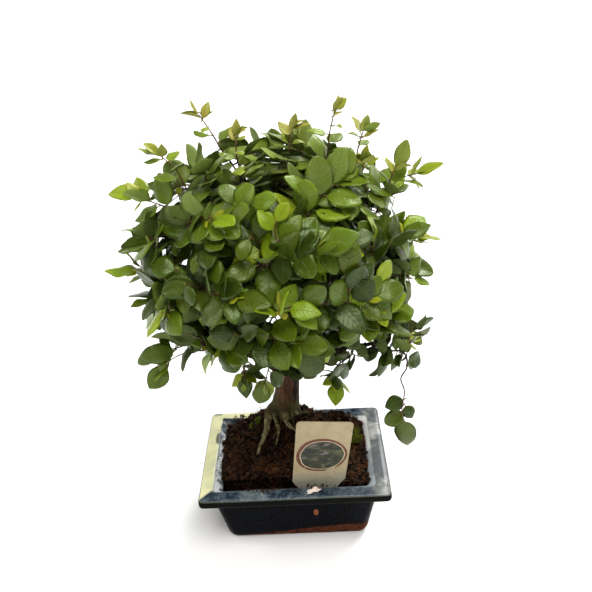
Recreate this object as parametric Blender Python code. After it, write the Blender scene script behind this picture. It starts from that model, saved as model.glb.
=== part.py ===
"""A sweet plum bonsai in a glazed rectangular pot.

Metres, +Z up. The origin is the middle of the pot's flat foot, the pot's long side runs
along X, and the front is -Y.
"""

import math
import random

import bpy
from mathutils import Vector
from mathutils.bvhtree import BVHTree

MM = 0.001
GAP = 0.4 * MM  # kept between neighbouring solids

# Pot
POT_LENGTH = 150 * MM
POT_DEPTH = 106 * MM
FLOOR_HEIGHT = 6 * MM
DRAIN_RADIUS = 7 * MM
DRAIN_X = 27 * MM
CORNER_STEPS = 4
# Each ring of the pot, from the foot out, up, over the lip and down inside:
# how far it lies inside the lip's outline, its height and its corner radius, in mm.
POT_RINGS = (
    (21.2, 0.0, 6.0), (17.8, 1.2, 8.0), (16.4, 4.2, 8.5), (9.6, 50.2, 6.0), (8.2, 52.0, 5.0),
    (1.6, 52.0, 3.2), (0.4, 52.8, 3.6), (0.0, 54.2, 3.8), (0.2, 58.4, 3.8), (1.6, 60.0, 3.0),
    (9.4, 60.0, 2.6), (11.3, 59.2, 3.0), (15.8, 54.5, 4.0), (17.0, 51.0, 4.0), (24.0, 9.0, 4.0),
    (27.0, 6.0, 3.0),
)

# Drain screens
SCREEN_SIDE = 20 * MM
SCREEN_THICK = 1.2 * MM
SCREEN_HOLES = 3

# Soil
SOIL_LEVEL = 55.5 * MM
SOIL_INSET = 14.6 * MM  # from the lip's outline to the soil's upper edge
SOIL_CORNER = 6.5 * MM
BALL_FRONT = -27 * MM
SOIL_FOOT = FLOOR_HEIGHT + SCREEN_THICK + 2 * GAP

# Trunk
POCKET_FOOT = 60 * MM
TRUNK_SIDES = 12
LIMB_SIDES = 7
ROOT_SIDES = 6
# Each limb: its points as x, y, z and radius, in mm.
TRUNK = (
    (-6.2, 24.0, 60, 13.4), (-6.2, 24.0, 75, 13.4), (-6.0, 24.0, 86, 12.8), (-5.0, 23.6, 95, 11.4),
    (-3.2, 22.4, 108, 10.0), (-1.8, 21.0, 120, 9.2), (-1.0, 20.0, 132, 9.0), (0.5, 21.0, 148, 6.6),
    (2.0, 22.0, 165, 5.2), (-1.0, 21.0, 186, 4.4), (-3.0, 20.0, 206, 3.8), (-1.0, 21.0, 228, 3.2),
    (0.0, 22.0, 250, 2.6), (1.0, 21.0, 270, 2.1), (2.0, 20.0, 288, 1.6),
)
LIMBS = {
    "left": ((-2, 19, 126, 6.6), (-16, 14, 143, 5.2), (-34, 10, 157, 4.4), (-48, 6, 167, 3.8),
             (-62, 2, 178, 3.2), (-76, -1, 192, 2.6), (-86, -3, 208, 1.9)),
    "left_back": ((-2, 23, 139, 5.4), (-22, 40, 160, 4.2), (-44, 55, 184, 3.3), (-61, 66, 208, 2.2)),
    "left_front": ((-32, 11, 156, 4.0), (-42, -12, 168, 3.2), (-50, -32, 184, 2.5), (-54, -46, 202, 1.8)),
    "right": ((1, 21, 129, 6.4), (13, 19, 142, 5.4), (25, 17, 152, 4.6), (45, 12, 168, 3.8),
              (60, 9, 184, 3.1), (74, 6, 202, 2.4), (83, 3, 218, 1.8)),
    "right_back": ((3, 24, 142, 5.2), (20, 38, 158, 4.2), (40, 53, 180, 3.2), (55, 65, 204, 2.2)),
    "right_low": ((29, 15, 155, 4.0), (47, 0, 162, 2.5), (58, -8, 168, 1.9), (67, -13, 174, 1.5)),
    "front": ((0, 18, 150, 5.0), (-5, 1, 165, 3.9), (-9, -18, 182, 3.2), (-12, -36, 200, 2.5),
              (-14, -52, 216, 1.8)),
    "front_right": ((-4, 3, 163, 3.6), (15, -15, 180, 3.0), (34, -29, 196, 2.4), (49, -38, 212, 1.7)),
    "back": ((2, 25, 160, 4.6), (4, 44, 176, 3.7), (4, 62, 196, 2.8), (2, 77, 216, 1.9)),
    "upper_left": ((1, 21, 178, 4.2), (-20, 16, 206, 3.3), (-39, 11, 236, 2.6), (-53, 9, 262, 1.8)),
    "upper_right": ((1, 22, 176, 4.2), (23, 20, 206, 3.3), (42, 16, 236, 2.6), (55, 12, 262, 1.8)),
    "upper_front": ((-3, 20, 204, 3.6), (-4, -2, 227, 2.8), (-6, -23, 250, 2.2), (-6, -37, 267, 1.7)),
    "upper_back": ((-2, 21, 214, 3.4), (0, 43, 236, 2.7), (2, 59, 258, 1.9)),
    "top_left": ((0, 22, 248, 2.5), (-17, 17, 272, 2.1), (-27, 15, 290, 1.6)),
    "top_right": ((0, 22, 244, 2.5), (20, 20, 268, 2.1), (33, 18, 288, 1.6)),
    "stub": ((2, 20, 134, 5.0), (20, 8, 149, 4.4), (33, 2, 157, 4.0), (43, -2, 161, 3.8)),
}
ROOTS = {
    "root_front_left": ((-12, 20, 95, 5.5), (-20.1, 16.2, 88.8, 3.8), (-21.7, 5.4, 79.8, 2.6),
                        (-25.3, 0.8, 73.1, 2.0), (-28, -2.9, 68.8, 1.6), (-30.6, -8.4, 64.2, 1.2)),
    "root_front": ((-12, 17, 93, 3.0), (-15.2, 12.5, 88, 2.0), (-13.1, 7.1, 84.1, 1.6),
                   (-11.6, 3.6, 80.5, 1.4), (-12.7, 0, 76.2, 1.2), (-14.6, -4.7, 70.8, 0.9)),
    "root_right": ((-3, 18, 93, 3.6), (2.1, 11.8, 89, 2.2), (9.5, 16.4, 86.8, 1.7), (13.4, 19.7, 83.8, 1.3)),
    "root_right_front": ((-5, 15, 90.5, 3.0), (-6.4, 8, 86.4, 2.0), (-2.4, 4.5, 82.6, 1.6),
                         (1.6, 2.6, 79.7, 1.4), (5.5, 0.5, 75.9, 1.0)),
}

# Label
LABEL_TOP_WIDTH = 42.7 * MM
LABEL_SHOULDER_WIDTH = 41.8 * MM
LABEL_FOOT_WIDTH = 29.6 * MM
LABEL_FOOT_Z = 51.4 * MM
LABEL_HEIGHT = 68.2 * MM
LABEL_CHAMFER = 9.6 * MM
LABEL_CORNER = 3.5 * MM
LABEL_THICK = 0.8 * MM
LABEL_FOOT_X = 18.1 * MM
LABEL_Y = -35.2 * MM
LABEL_LEAN = 0.119  # how far the card leans to the right, as a share of the height
LABEL_SLOPES = (-0.05, 0.075)  # how its foot and its top fall to the right
STAKE_WIDTH = 10 * MM
STAKE_LENGTH = 24 * MM

# Crown
CROWN_CENTRE = Vector((-4, 20, 236)) * MM
CROWN_X = 97 * MM
CROWN_Y = 90 * MM
CROWN_UP = 74 * MM
CROWN_DOWN = 56 * MM
CROWN_SHOOTS = 26
CROWN_LEAVES = 13
CROWN_SQUARENESS = 3  # how squarely the crown's lower half is trimmed; 2 is an ellipsoid
CROWN_SWEEP = 0.42  # how far round the crown a shoot's leafy part runs, in radians
CROWN_BLADE = 23 * MM
SEED = 11
TWIG_FOOT_RADIUS = 1.2 * MM
TWIG_TIP_RADIUS = 0.6 * MM
FOOT_LENGTH = 5 * MM  # how far a shoot runs square out of its limb
FOOT_STATION = 3 * MM
LEAF_PITCH = 6 * MM
BARE_PITCH = 14 * MM
STALK = 2.5 * MM
BLADE_HALF = 0.34  # half width over length
BLADE_KEEL = 1.0 * MM
CLEARANCE = 0.7 * MM
TWIG_ROOM = 0.3 * MM
# The shoots that stand out of the crown: points along the twig from its foot to its last leaf,
# how many side leaves it has, and its blades' length, in mm.
STRAY_SHOOTS = {
    "shoot_top_left": (((-34, 20, 309), (-39, 20, 321), (-47, 20, 336)), 4, 15),
    "shoot_top_left_inner": (((-23, 15, 298), (-25, 15, 310), (-24, 15, 322)), 4, 15),
    "shoot_top_middle": (((9, 15, 306), (11, 15, 316), (13, 15, 324)), 4, 13),
    "shoot_top_right": (((35, 18, 303), (37, 18, 318), (41, 18, 334)), 5, 16),
    "shoot_right_top": (((52, 15, 290), (55, 15, 306), (59, 15, 320)), 4, 15),
    "shoot_right_top_small": (((55, 4, 290), (59, 2, 305)), 3, 12),
    "shoot_right_long": (((64, 10, 259), (72, 10, 278), (80, 10, 296)), 4, 18),
    "shoot_right_high": (((70, 12, 276), (82, 12, 287), (92, 12, 291)), 4, 19),
    "shoot_right_middle": (((74, 10, 238), (86, 10, 244), (95, 10, 245)), 4, 18),
    "shoot_right_lower": (((76, 6, 220), (86, 4, 217), (94, 4, 214)), 4, 18),
    "shoot_left_high": (((-58, 12, 286), (-66, 12, 303), (-76, 12, 314)), 5, 20),
    "shoot_left_upper": (((-62, 10, 268), (-76, 10, 281), (-93, 10, 284)), 5, 23),
    "shoot_left_middle": (((-74, 10, 252), (-84, 10, 260), (-93, 10, 261)), 4, 21),
    "shoot_left_wide": (((-84, 8, 224), (-93, 9, 230), (-103, 10, 229)), 5, 24),
    "shoot_left_low": (((-66, 4, 172), (-80, 5, 166), (-93, 5, 163)), 4, 24),
    "shoot_left_droop": (((-50, 2, 160), (-74, 3, 162), (-90, 6, 154), (-98, 8, 147)), 2, 24),
    "shoot_right_drop": (((64, 6, 178), (78, 5, 171), (90, 5, 166)), 5, 16),
    "shoot_trailing": (((77, -17, 173), (85, -19, 164), (88, -20, 154), (88, -20, 143), (87, -20, 131),
                        (85, -20, 117), (86, -20, 100)), 6, 14),
    "shoot_under_left": (((-33, 2, 150), (-35, -2, 140)), 3, 18),
    "shoot_under_front": (((-10, -12, 168), (-14, -20, 158), (-17, -23, 149)), 4, 18),
    "shoot_under_right": (((38, -6, 150), (37, -12, 140)), 3, 18),
    "shoot_front_bright": (((-6, -52, 222), (-2, -66, 232), (1, -72, 240)), 5, 25),
    "shoot_front_right": (((54, -36, 214), (62, -40, 220)), 5, 21),
    "shoot_front_left": (((-50, -28, 192), (-46, -44, 196)), 5, 23),
}

MOSS_SPOKES = 9
# Each pad of moss: its middle as x and y, its radius along x and y, and its thickness, in mm.
MOSS = {
    "moss_right": (52, 16, 6, 10, 2.6),
    "moss_left": (-32, 18, 5, 5, 2.0),
}


def finish(name, colour, roughness, metallic=0.0):
    """A plain material of this colour."""
    material = bpy.data.materials.new(name)
    material.use_nodes = True
    material.diffuse_color = (*colour, 1)
    shader = material.node_tree.nodes["Principled BSDF"]
    shader.inputs["Base Color"].default_value = (*colour, 1)
    shader.inputs["Roughness"].default_value = roughness
    shader.inputs["Metallic"].default_value = metallic
    return material


def solid(name, points, faces, material):
    """A mesh object with these faces."""
    mesh = bpy.data.meshes.new(name)
    mesh.from_pydata([tuple(point) for point in points], [], faces)
    mesh.update()
    mesh.materials.append(material)
    made = bpy.data.objects.new(name, mesh)
    bpy.context.scene.collection.objects.link(made)
    return made


def cut(target, cutter, operation="DIFFERENCE"):
    """A Boolean on target with a helper, which isn't a part."""
    cutter.hide_render = True
    cutter.display_type = "WIRE"
    modifier = target.modifiers.new(cutter.name, "BOOLEAN")
    modifier.operation = operation
    modifier.object = cutter


def loft(rings):
    """Points and faces of a closed skin over rings that turn anticlockwise about the way they follow."""
    count = len(rings[0])
    points = [point for ring in rings for point in ring]
    faces = [tuple(reversed(range(count)))]
    for ring in range(len(rings) - 1):
        low = ring * count
        for side in range(count):
            after = (side + 1) % count
            faces.append((low + side, low + after, low + count + after, low + count + side))
    faces.append(tuple(range(len(points) - count, len(points))))
    return points, faces


def rounded_rectangle(half_x, half_y, radius, z):
    """Points round a rectangle with arcs at its corners."""
    ring = []
    for quarter in range(4):
        middle_x = (half_x - radius) * (1 if quarter in (0, 3) else -1)
        middle_y = (half_y - radius) * (1 if quarter in (0, 1) else -1)
        for step in range(CORNER_STEPS + 1):
            angle = (quarter + step / CORNER_STEPS) * math.pi / 2
            ring.append(Vector((middle_x + radius * math.cos(angle), middle_y + radius * math.sin(angle), z)))
    return ring


def build_pot():
    glaze = finish("pot_glaze", (0.02, 0.035, 0.05), 0.12)
    rings = [
        rounded_rectangle(POT_LENGTH / 2 - inset * MM, POT_DEPTH / 2 - inset * MM, radius * MM, z * MM)
        for inset, z, radius in POT_RINGS
    ]
    pot = solid("pot", *loft(rings), glaze)
    for side, x in (("left", -DRAIN_X), ("right", DRAIN_X)):
        ends = [circle(Vector((x, 0, z)), DRAIN_RADIUS, 16) for z in (-FLOOR_HEIGHT, 2 * FLOOR_HEIGHT)]
        cut(pot, solid("drain_cutter_" + side, *loft(ends), glaze))


def circle(centre, radius, sides):
    """A level ring of points."""
    return [
        centre + radius * Vector((math.cos(turn), math.sin(turn), 0))
        for turn in (2 * math.pi * side / sides for side in range(sides))
    ]


def build_screens():
    """A square plastic mesh on the pot's floor over each drain hole."""
    plastic = finish("screen_plastic", (0.05, 0.05, 0.05), 0.5)
    cells = 2 * SCREEN_HOLES + 1
    step = SCREEN_SIDE / cells
    low = FLOOR_HEIGHT + GAP

    def is_open(column, row):
        inside = 0 <= column < cells and 0 <= row < cells
        return not inside or (column % 2 == 1 and row % 2 == 1)

    def at(column, row, level):
        return (level * (cells + 1) + row) * (cells + 1) + column

    for side, middle in (("left", -DRAIN_X), ("right", DRAIN_X)):
        corner = middle - SCREEN_SIDE / 2
        points = [
            (corner + column * step, row * step - SCREEN_SIDE / 2, low + level * SCREEN_THICK)
            for level in (0, 1) for row in range(cells + 1) for column in range(cells + 1)
        ]
        faces = []
        for row in range(cells):
            for column in range(cells):
                if is_open(column, row):
                    continue
                corners = ((column, row), (column + 1, row), (column + 1, row + 1), (column, row + 1))
                faces.append(tuple(at(*corner, 1) for corner in corners))
                faces.append(tuple(at(*corner, 0) for corner in reversed(corners)))
                beyond = ((column, row - 1), (column + 1, row), (column, row + 1), (column - 1, row))
                for start, end, neighbour in zip(corners, corners[1:] + corners[:1], beyond):
                    if is_open(*neighbour):
                        faces.append((at(*start, 0), at(*end, 0), at(*end, 1), at(*start, 1)))
        solid("drain_screen_" + side, points, faces, plastic)


def smooth_step(value):
    value = min(max(value, 0), 1)
    return value * value * (3 - 2 * value)


def soil_height(x, y):
    """The soil's surface: level, with a mound under the trunk and a ridge along the back."""
    mound = 34 * MM * math.exp(-(((x + 5 * MM) / (34 * MM)) ** 2) - ((y - 20 * MM) / (26 * MM)) ** 2)
    crest = 15 * MM + 8 * MM * math.exp(-(((x - 43 * MM) / (10 * MM)) ** 2))
    crest += 4 * MM * math.exp(-(((x + 27 * MM) / (14 * MM)) ** 2))
    ridge = crest * math.exp(-(((y - 32 * MM) / (9 * MM)) ** 2) - (x / (54 * MM)) ** 6)
    return SOIL_LEVEL + (mound**3 + ridge**3) ** (1 / 3)


def soil_split(y):
    """Where the root ball ends and the potting mix begins, along X."""
    return -4 * MM + 24 * MM * (y + 37 * MM) / (74 * MM)


def within_pot(x, y):
    """The point moved inside the soil's rounded outline."""
    half_x = POT_LENGTH / 2 - SOIL_INSET
    half_y = POT_DEPTH / 2 - SOIL_INSET
    corner = Vector((max(abs(x) - half_x + SOIL_CORNER, 0), max(abs(y) - half_y + SOIL_CORNER, 0)))
    if corner.length <= SOIL_CORNER:
        return x, y
    corner *= 1 - SOIL_CORNER / corner.length
    return x - math.copysign(corner.x, x), y - math.copysign(corner.y, y)


def heap(name, columns, rows, place, lowered, material):
    """A closed body of soil: place gives its upper surface, and lowered its side at each level below."""
    points = [
        Vector(place(column / columns, row / rows))
        for row in range(rows + 1) for column in range(columns + 1)
    ]

    def at(column, row):
        return row * (columns + 1) + column

    faces = [
        (at(column, row), at(column + 1, row), at(column + 1, row + 1), at(column, row + 1))
        for row in range(rows) for column in range(columns)
    ]
    rim = [at(column, 0) for column in range(columns)] + [at(columns, row) for row in range(rows)]
    rim += [at(column, rows) for column in range(columns, 0, -1)] + [at(0, row) for row in range(rows, 0, -1)]
    edge = [points[index] for index in rim]
    for level in (53.5 * MM, 32 * MM, 10 * MM, SOIL_FOOT):
        ring = list(range(len(points), len(points) + len(rim)))
        points += [Vector(lowered(point, level)) for point in edge]
        for side in range(len(rim)):
            after = (side + 1) % len(rim)
            faces.append((ring[side], ring[after], rim[after], rim[side]))
        rim = ring
    faces.append(tuple(reversed(rim)))
    return solid(name, points, faces, material)


def wall_share(z):
    """How far in the soil's side lies at this height, as shares of its upper outline along X and Y."""
    inset = 18 * MM + (51 * MM - z) * 7 / 42 + (2.5 * MM if z < 9 * MM else 0)
    return (
        (POT_LENGTH / 2 - inset) / (POT_LENGTH / 2 - SOIL_INSET),
        (POT_DEPTH / 2 - inset) / (POT_DEPTH / 2 - SOIL_INSET),
    )


def build_soil():
    """The root ball, with a pocket for the trunk's foot, and the potting mix beside it."""
    peat = finish("root_ball_soil", (0.045, 0.022, 0.012), 0.95)
    loose = finish("potting_mix", (0.055, 0.028, 0.016), 0.95)
    half_x = POT_LENGTH / 2 - SOIL_INSET
    half_y = POT_DEPTH / 2 - SOIL_INSET

    def settled(x, y, low_edge):
        inside = within_pot(x, y)
        height = soil_height(*inside)
        return (*inside, SOIL_LEVEL + 1.5 * MM + 0.3 * (height - SOIL_LEVEL) if low_edge else height)

    def ball_place(share_x, share_y):
        y = BALL_FRONT + (half_y - BALL_FRONT) * share_y
        x = -half_x + (soil_split(y) - 1.2 * MM + half_x) * share_x
        return settled(x, y, share_y == 1 or share_x == 0)

    def ball_lowered(point, z):
        share_x, share_y = wall_share(z)
        bulge = 0
        if point.y < BALL_FRONT + GAP:
            bulge = 6 * MM * (1 - z / SOIL_LEVEL) * smooth_step((-8 * MM - point.x) / (14 * MM))
        return point.x * share_x, point.y * share_y - bulge, z

    def mix_front(x):
        return -31.5 * MM - 5.9 * MM * smooth_step((x - 41 * MM) / (8 * MM))

    def mix_place(share_x, share_y):
        y = -32 * MM + (half_y + 32 * MM) * share_y
        left = soil_split(y) + 1.2 * MM
        x = left + (half_x - left) * share_x
        y += (mix_front(x) + 32 * MM) * (1 - share_y) ** 2
        return settled(x, y, share_y == 1 or share_x == 1)

    def mix_lowered(point, z):
        share_x, share_y = wall_share(z)
        return point.x * share_x, point.y * share_y, z

    ball = heap("root_ball", 13, 11, ball_place, ball_lowered, peat)
    heap("potting_mix", 9, 12, mix_place, mix_lowered, loose)
    x, y, _, radius = (value * MM for value in TRUNK[0])
    ends = [circle(Vector((x, y, z)), radius + 1.5 * MM, 16) for z in (POCKET_FOOT - 1 * MM, 95 * MM)]
    cut(ball, solid("pocket_cutter", *loft(ends), peat))


def build_moss():
    """Pads of moss lying on the soil."""
    moss = finish("moss", (0.12, 0.16, 0.02), 0.95)
    for name, values in MOSS.items():
        middle_x, middle_y, radius_x, radius_y, thick = (value * MM for value in values)

        def ring(share, lift):
            made = []
            for spoke in range(MOSS_SPOKES):
                turn = 2 * math.pi * spoke / MOSS_SPOKES
                reach = share * (1 + 0.15 * math.sin(3 * turn + middle_x / MM))
                x = middle_x + radius_x * reach * math.cos(turn)
                y = middle_y + radius_y * reach * math.sin(turn)
                made.append(Vector((x, y, soil_height(x, y) + lift)))
            return made

        low = 1.0 * MM
        rings = [ring(0.4, low), ring(0.95, low), ring(1, low + 0.3 * thick), ring(0.75, low + 0.85 * thick)]
        rings.append(ring(0.3, low + thick))
        solid(name, *loft(rings), moss)


def across(tangent, near):
    """A direction square to tangent, as near as it can be to another."""
    side = near - near.dot(tangent) * tangent
    return side.normalized() if side.length > 1e-4 else tangent.orthogonal().normalized()


def tube(route, radii, sides, swell=0.0):
    """Points and faces of a round bar along route, with flat ends."""
    rings = []
    side = None
    for index, point in enumerate(route):
        before = route[max(index - 1, 0)]
        after = route[min(index + 1, len(route) - 1)]
        tangent = (after - before).normalized()
        side = across(tangent, side if side is not None else tangent.orthogonal())
        other = tangent.cross(side)
        radius = radii[index] + swell
        rings.append([
            point + radius * (math.cos(turn) * side + math.sin(turn) * other)
            for turn in (2 * math.pi * spoke / sides for spoke in range(sides))
        ])
    return loft(rings)


def limb_tube(rows, sides, swell=0.0):
    route = [Vector(row[:3]) * MM for row in rows]
    return tube(route, [row[3] * MM for row in rows], sides, swell)


def build_trunk():
    """The trunk with its roots and limbs, joined into one body."""
    bark = finish("bark", (0.10, 0.055, 0.03), 0.75)
    trunk = solid("trunk", *limb_tube(TRUNK, TRUNK_SIDES), bark)
    for name, rows in ROOTS.items():
        cut(trunk, solid(name, *limb_tube(rows, ROOT_SIDES), bark), "UNION")
    for name, rows in LIMBS.items():
        cut(trunk, solid("limb_" + name, *limb_tube(rows, LIMB_SIDES), bark), "UNION")


def build_label():
    """A flat plate with a stake below it, pushed in between the soil and the pot's front wall."""
    card = finish("label_plastic", (0.62, 0.52, 0.36), 0.4)
    top, shoulder, foot, stake = (
        width / 2 for width in (LABEL_TOP_WIDTH, LABEL_SHOULDER_WIDTH, LABEL_FOOT_WIDTH, STAKE_WIDTH)
    )
    half = [(0, -STAKE_LENGTH), (stake * 0.6, 3 * MM - STAKE_LENGTH), (stake, 6 * MM - STAKE_LENGTH)]
    half += [(stake, 0), (foot, 0), (shoulder, LABEL_CHAMFER)]
    for step in range(5):
        turn = step * math.pi / 8
        corner_x = top - LABEL_CORNER * (1 - math.cos(turn))
        half.append((corner_x, LABEL_HEIGHT - LABEL_CORNER * (1 - math.sin(turn))))
    outline = half + [(-x, z) for x, z in reversed(half[1:])]

    def placed(x, z, y):
        back = 0.14 * max(-z, 0)  # the stake follows the wall's slope
        share = max(z, 0) / LABEL_HEIGHT
        slope = LABEL_SLOPES[0] + (LABEL_SLOPES[1] - LABEL_SLOPES[0]) * share
        leaned = LABEL_FOOT_X + x + LABEL_LEAN * max(z, 0)
        return Vector((leaned, LABEL_Y + y + back, LABEL_FOOT_Z + z - slope * x))

    count = len(outline)
    points = [placed(x, z, side * LABEL_THICK) for side in (0, 1) for x, z in outline]
    faces = [tuple(range(count)), tuple(reversed(range(count, 2 * count)))]
    for index in range(count):
        after = (index + 1) % count
        faces.append((after, index, count + index, count + after))
    solid("plant_label", points, faces, card)


class Taken:
    """The room that limbs, twigs and leaves already fill."""

    def __init__(self):
        self.bodies = []

    @staticmethod
    def body(points, faces):
        centre = sum(points, Vector()) / len(points)
        reach = max((point - centre).length for point in points)
        return centre, reach, BVHTree.FromPolygons(points, faces)

    def is_clear(self, body):
        centre, reach, tree = body
        for other_centre, other_reach, other_tree in self.bodies:
            near = (centre - other_centre).length < reach + other_reach
            if near and tree.overlap(other_tree):
                return False
        return True


def smooth_route(knots, spacing=1.5 * MM):
    """Closely spaced points on a smooth curve through the knots, with no loops at short stretches."""
    ways = [(end - start).normalized() for start, end in zip(knots, knots[1:])]
    leans = [ways[0], *((way + after).normalized() for way, after in zip(ways, ways[1:])), ways[-1]]
    route = []
    for start, end, leaving, arriving in zip(knots, knots[1:], leans, leans[1:]):
        length = (end - start).length
        steps = max(int(length / spacing), 1)
        for step in range(steps):
            t = step / steps
            route.append(
                (2 * t**3 - 3 * t**2 + 1) * start + (t**3 - 2 * t**2 + t) * length * leaving
                + (3 * t**2 - 2 * t**3) * end + (t**3 - t**2) * length * arriving
            )
    return route + [knots[-1]]


def stations(route, distances):
    """The points at these distances along the route."""
    found = []
    walked = 0.0
    index = 0
    for distance in distances:
        while index < len(route) - 2 and walked + (route[index + 1] - route[index]).length < distance:
            walked += (route[index + 1] - route[index]).length
            index += 1
        span = route[index + 1] - route[index]
        share = min((distance - walked) / span.length, 1)
        found.append(route[index] + share * span)
    return found


def limb_bases():
    """Places along the limbs' outer parts where a shoot can start: point, limb's direction and radius."""
    found = []
    for rows in (TRUNK[8:], *(limb[1:] for name, limb in LIMBS.items() if name != "stub")):
        for start, end in zip(rows, rows[1:]):
            low, high = Vector(start[:3]) * MM, Vector(end[:3]) * MM
            steps = max(int((high - low).length / (6 * MM)), 1)
            for step in range(steps):
                share = (step + 0.5) / steps
                radius = (start[3] + (end[3] - start[3]) * share) * MM
                found.append((low.lerp(high, share), (high - low).normalized(), radius))
    return found


def starts_towards(target, bases):
    """The places where a shoot towards target can leave its limb, best first: its start and its first way."""
    found = []
    for point, axis, radius in bases:
        way = target - point
        out = way - way.dot(axis) * axis
        if out.length > 0.3 * way.length:
            cost = way.length * (1.4 - 0.4 * out.length / way.length)
            out.normalize()
            found.append((cost, point + (radius + GAP) * out, out))
    found.sort(key=lambda start: start[0])
    return [(start, out) for _, start, out in found]


def blade_proxy(base, direction, normal, length):
    """A closed shape a little larger than the leaf, to keep leaves apart."""
    side = normal.cross(direction)
    middle = base + 0.45 * length * direction
    half = BLADE_HALF * length + CLEARANCE
    points = [
        base - 0.5 * STALK * direction,
        middle + half * side, middle + CLEARANCE * normal,
        middle - half * side, middle - (BLADE_KEEL + CLEARANCE) * normal,
        base + (length + CLEARANCE) * direction,
    ]
    faces = [(0, 1, 2), (0, 2, 3), (0, 3, 4), (0, 4, 1), (5, 2, 1), (5, 3, 2), (5, 4, 3), (5, 1, 4)]
    return points, faces


def halves(points, a, b, c, d):
    """A four-cornered face as two triangles, cut along the diagonal that stands out."""
    rise = (points[b] - points[a]).cross(points[c] - points[a]).dot(points[d] - points[a])
    return [(a, b, c), (a, c, d)] if rise < 0 else [(a, b, d), (b, c, d)]


def crosses_itself(points, faces):
    tree = BVHTree.FromPolygons(points, faces)
    return any(not set(faces[one]) & set(faces[other]) for one, other in tree.overlap(tree))


def jitter(rng, size):
    return Vector((rng.uniform(-size, size), rng.uniform(-size, size), rng.uniform(-size, size)))


def upper_side(base, direction, rng):
    """The way a leaf's upper side faces: up and out of the crown."""
    out = (base - CROWN_CENTRE).normalized()
    return across(direction, 0.6 * Vector((0, 0, 1)) + 0.55 * out + jitter(rng, 0.3))


class Shoot:
    """A twig with its leaves, as one closed body."""

    def __init__(self, knots, leaves, blade):
        self.blade = blade
        route = smooth_route(knots)
        length = sum((b - a).length for a, b in zip(route, route[1:]))
        pitch = min(LEAF_PITCH, 0.8 * length / leaves)
        bare = length - leaves * pitch
        bare_steps = max(round(bare / BARE_PITCH), 1)
        bare_pitch = (bare - FOOT_STATION) / bare_steps
        distances = [0.0]
        distances += [FOOT_STATION + bare_pitch * step for step in range(bare_steps)]
        distances += [bare + pitch * step for step in range(leaves + 1)]
        self.first_leaf = bare_steps + 1
        self.centres = stations(route, distances)
        taper = (TWIG_TIP_RADIUS - TWIG_FOOT_RADIUS) / length
        self.radii = [TWIG_FOOT_RADIUS + taper * distance for distance in distances]
        self.leaves = {}

    def body(self, swell):
        """The twig alone, this much thicker."""
        return Taken.body(*tube(self.centres, self.radii, 3, swell))

    def add_leaves(self, taken, rng):
        """A leaf on each stretch of the leafy part, where there is room for one, and one on the tip."""
        points, _ = tube(self.centres, self.radii, 3)
        own = self.body(0)[2]
        last = len(self.centres) - 1
        for ring in range(self.first_leaf, last + 1):
            tangent = (self.centres[ring] - self.centres[ring - 1]).normalized()
            size = self.blade * min(1, 0.62 + 0.13 * (last - ring))
            if ring == last:
                root = self.centres[ring]
                out = lean = tangent
                size = self.blade
            else:
                side = ring % 3
                corners = [points[3 * ring + side], points[3 * ring + (side + 1) % 3]]
                corners.append(points[3 * ring + 3 + (side + 1) % 3])
                root = sum(corners, Vector()) / 3
                out = (corners[1] - corners[0]).cross(corners[2] - corners[0]).normalized()
                lean = (out + 0.75 * tangent).normalized()
            for attempt in range(9):
                way = (lean + jitter(rng, 0.12 + 0.09 * attempt)).normalized()
                length = size * rng.uniform(0.88, 1.08) * (1 - 0.05 * attempt)
                base = root + STALK * way
                normal = upper_side(base, way, rng)
                body = Taken.body(*blade_proxy(base, way, normal, length))
                if way.dot(out) < 0.3 or body[2].overlap(own) or not taken.is_clear(body):
                    continue
                self.leaves[ring] = (base, way, normal, length)
                if not crosses_itself(*self.mesh()):
                    taken.bodies.append(body)
                    break
                del self.leaves[ring]

    def mesh(self):
        """Points and faces of the twig, with each leaf drawn out of one triangle of its side."""
        points, sides = tube(self.centres, self.radii, 3)
        faces = [sides[0]]
        last = len(self.centres) - 1
        for ring in range(last):
            for side in range(3):
                low, after, high_after, high = sides[1 + 3 * ring + side]
                if ring in self.leaves and side == ring % 3:
                    self.draw_leaf(points, faces, (low, after, high_after), self.leaves[ring])
                    faces.append((low, high_after, high))
                else:
                    faces.extend(halves(points, low, after, high_after, high))
        if last in self.leaves:
            self.draw_leaf(points, faces, sides[-1], self.leaves[last])
        else:
            faces.append(sides[-1])
        return points, faces

    @staticmethod
    def draw_leaf(points, faces, root, leaf):
        base, way, normal, length = leaf
        side = normal.cross(way)
        middle = base + 0.45 * length * way
        half = BLADE_HALF * length
        stalk_ring = [base + 0.5 * MM * side, base - 0.5 * MM * side, base - 0.8 * MM * normal]
        widest = [middle + half * side, middle - half * side, middle - BLADE_KEEL * normal]
        turn = min(range(3), key=lambda shift: sum(
            (points[root[k]] - stalk_ring[(k + shift) % 3]).length for k in range(3)
        ))
        lower = list(root)
        for section in (stalk_ring, widest):
            upper = list(range(len(points), len(points) + 3))
            points.extend(section[(k + turn) % 3] for k in range(3))
            for k in range(3):
                after = (k + 1) % 3
                faces.extend(halves(points, lower[k], lower[after], upper[after], upper[k]))
            lower = upper
        tip = len(points)
        points.append(base + length * way)
        faces.extend((lower[k], lower[(k + 1) % 3], tip) for k in range(3))


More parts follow.
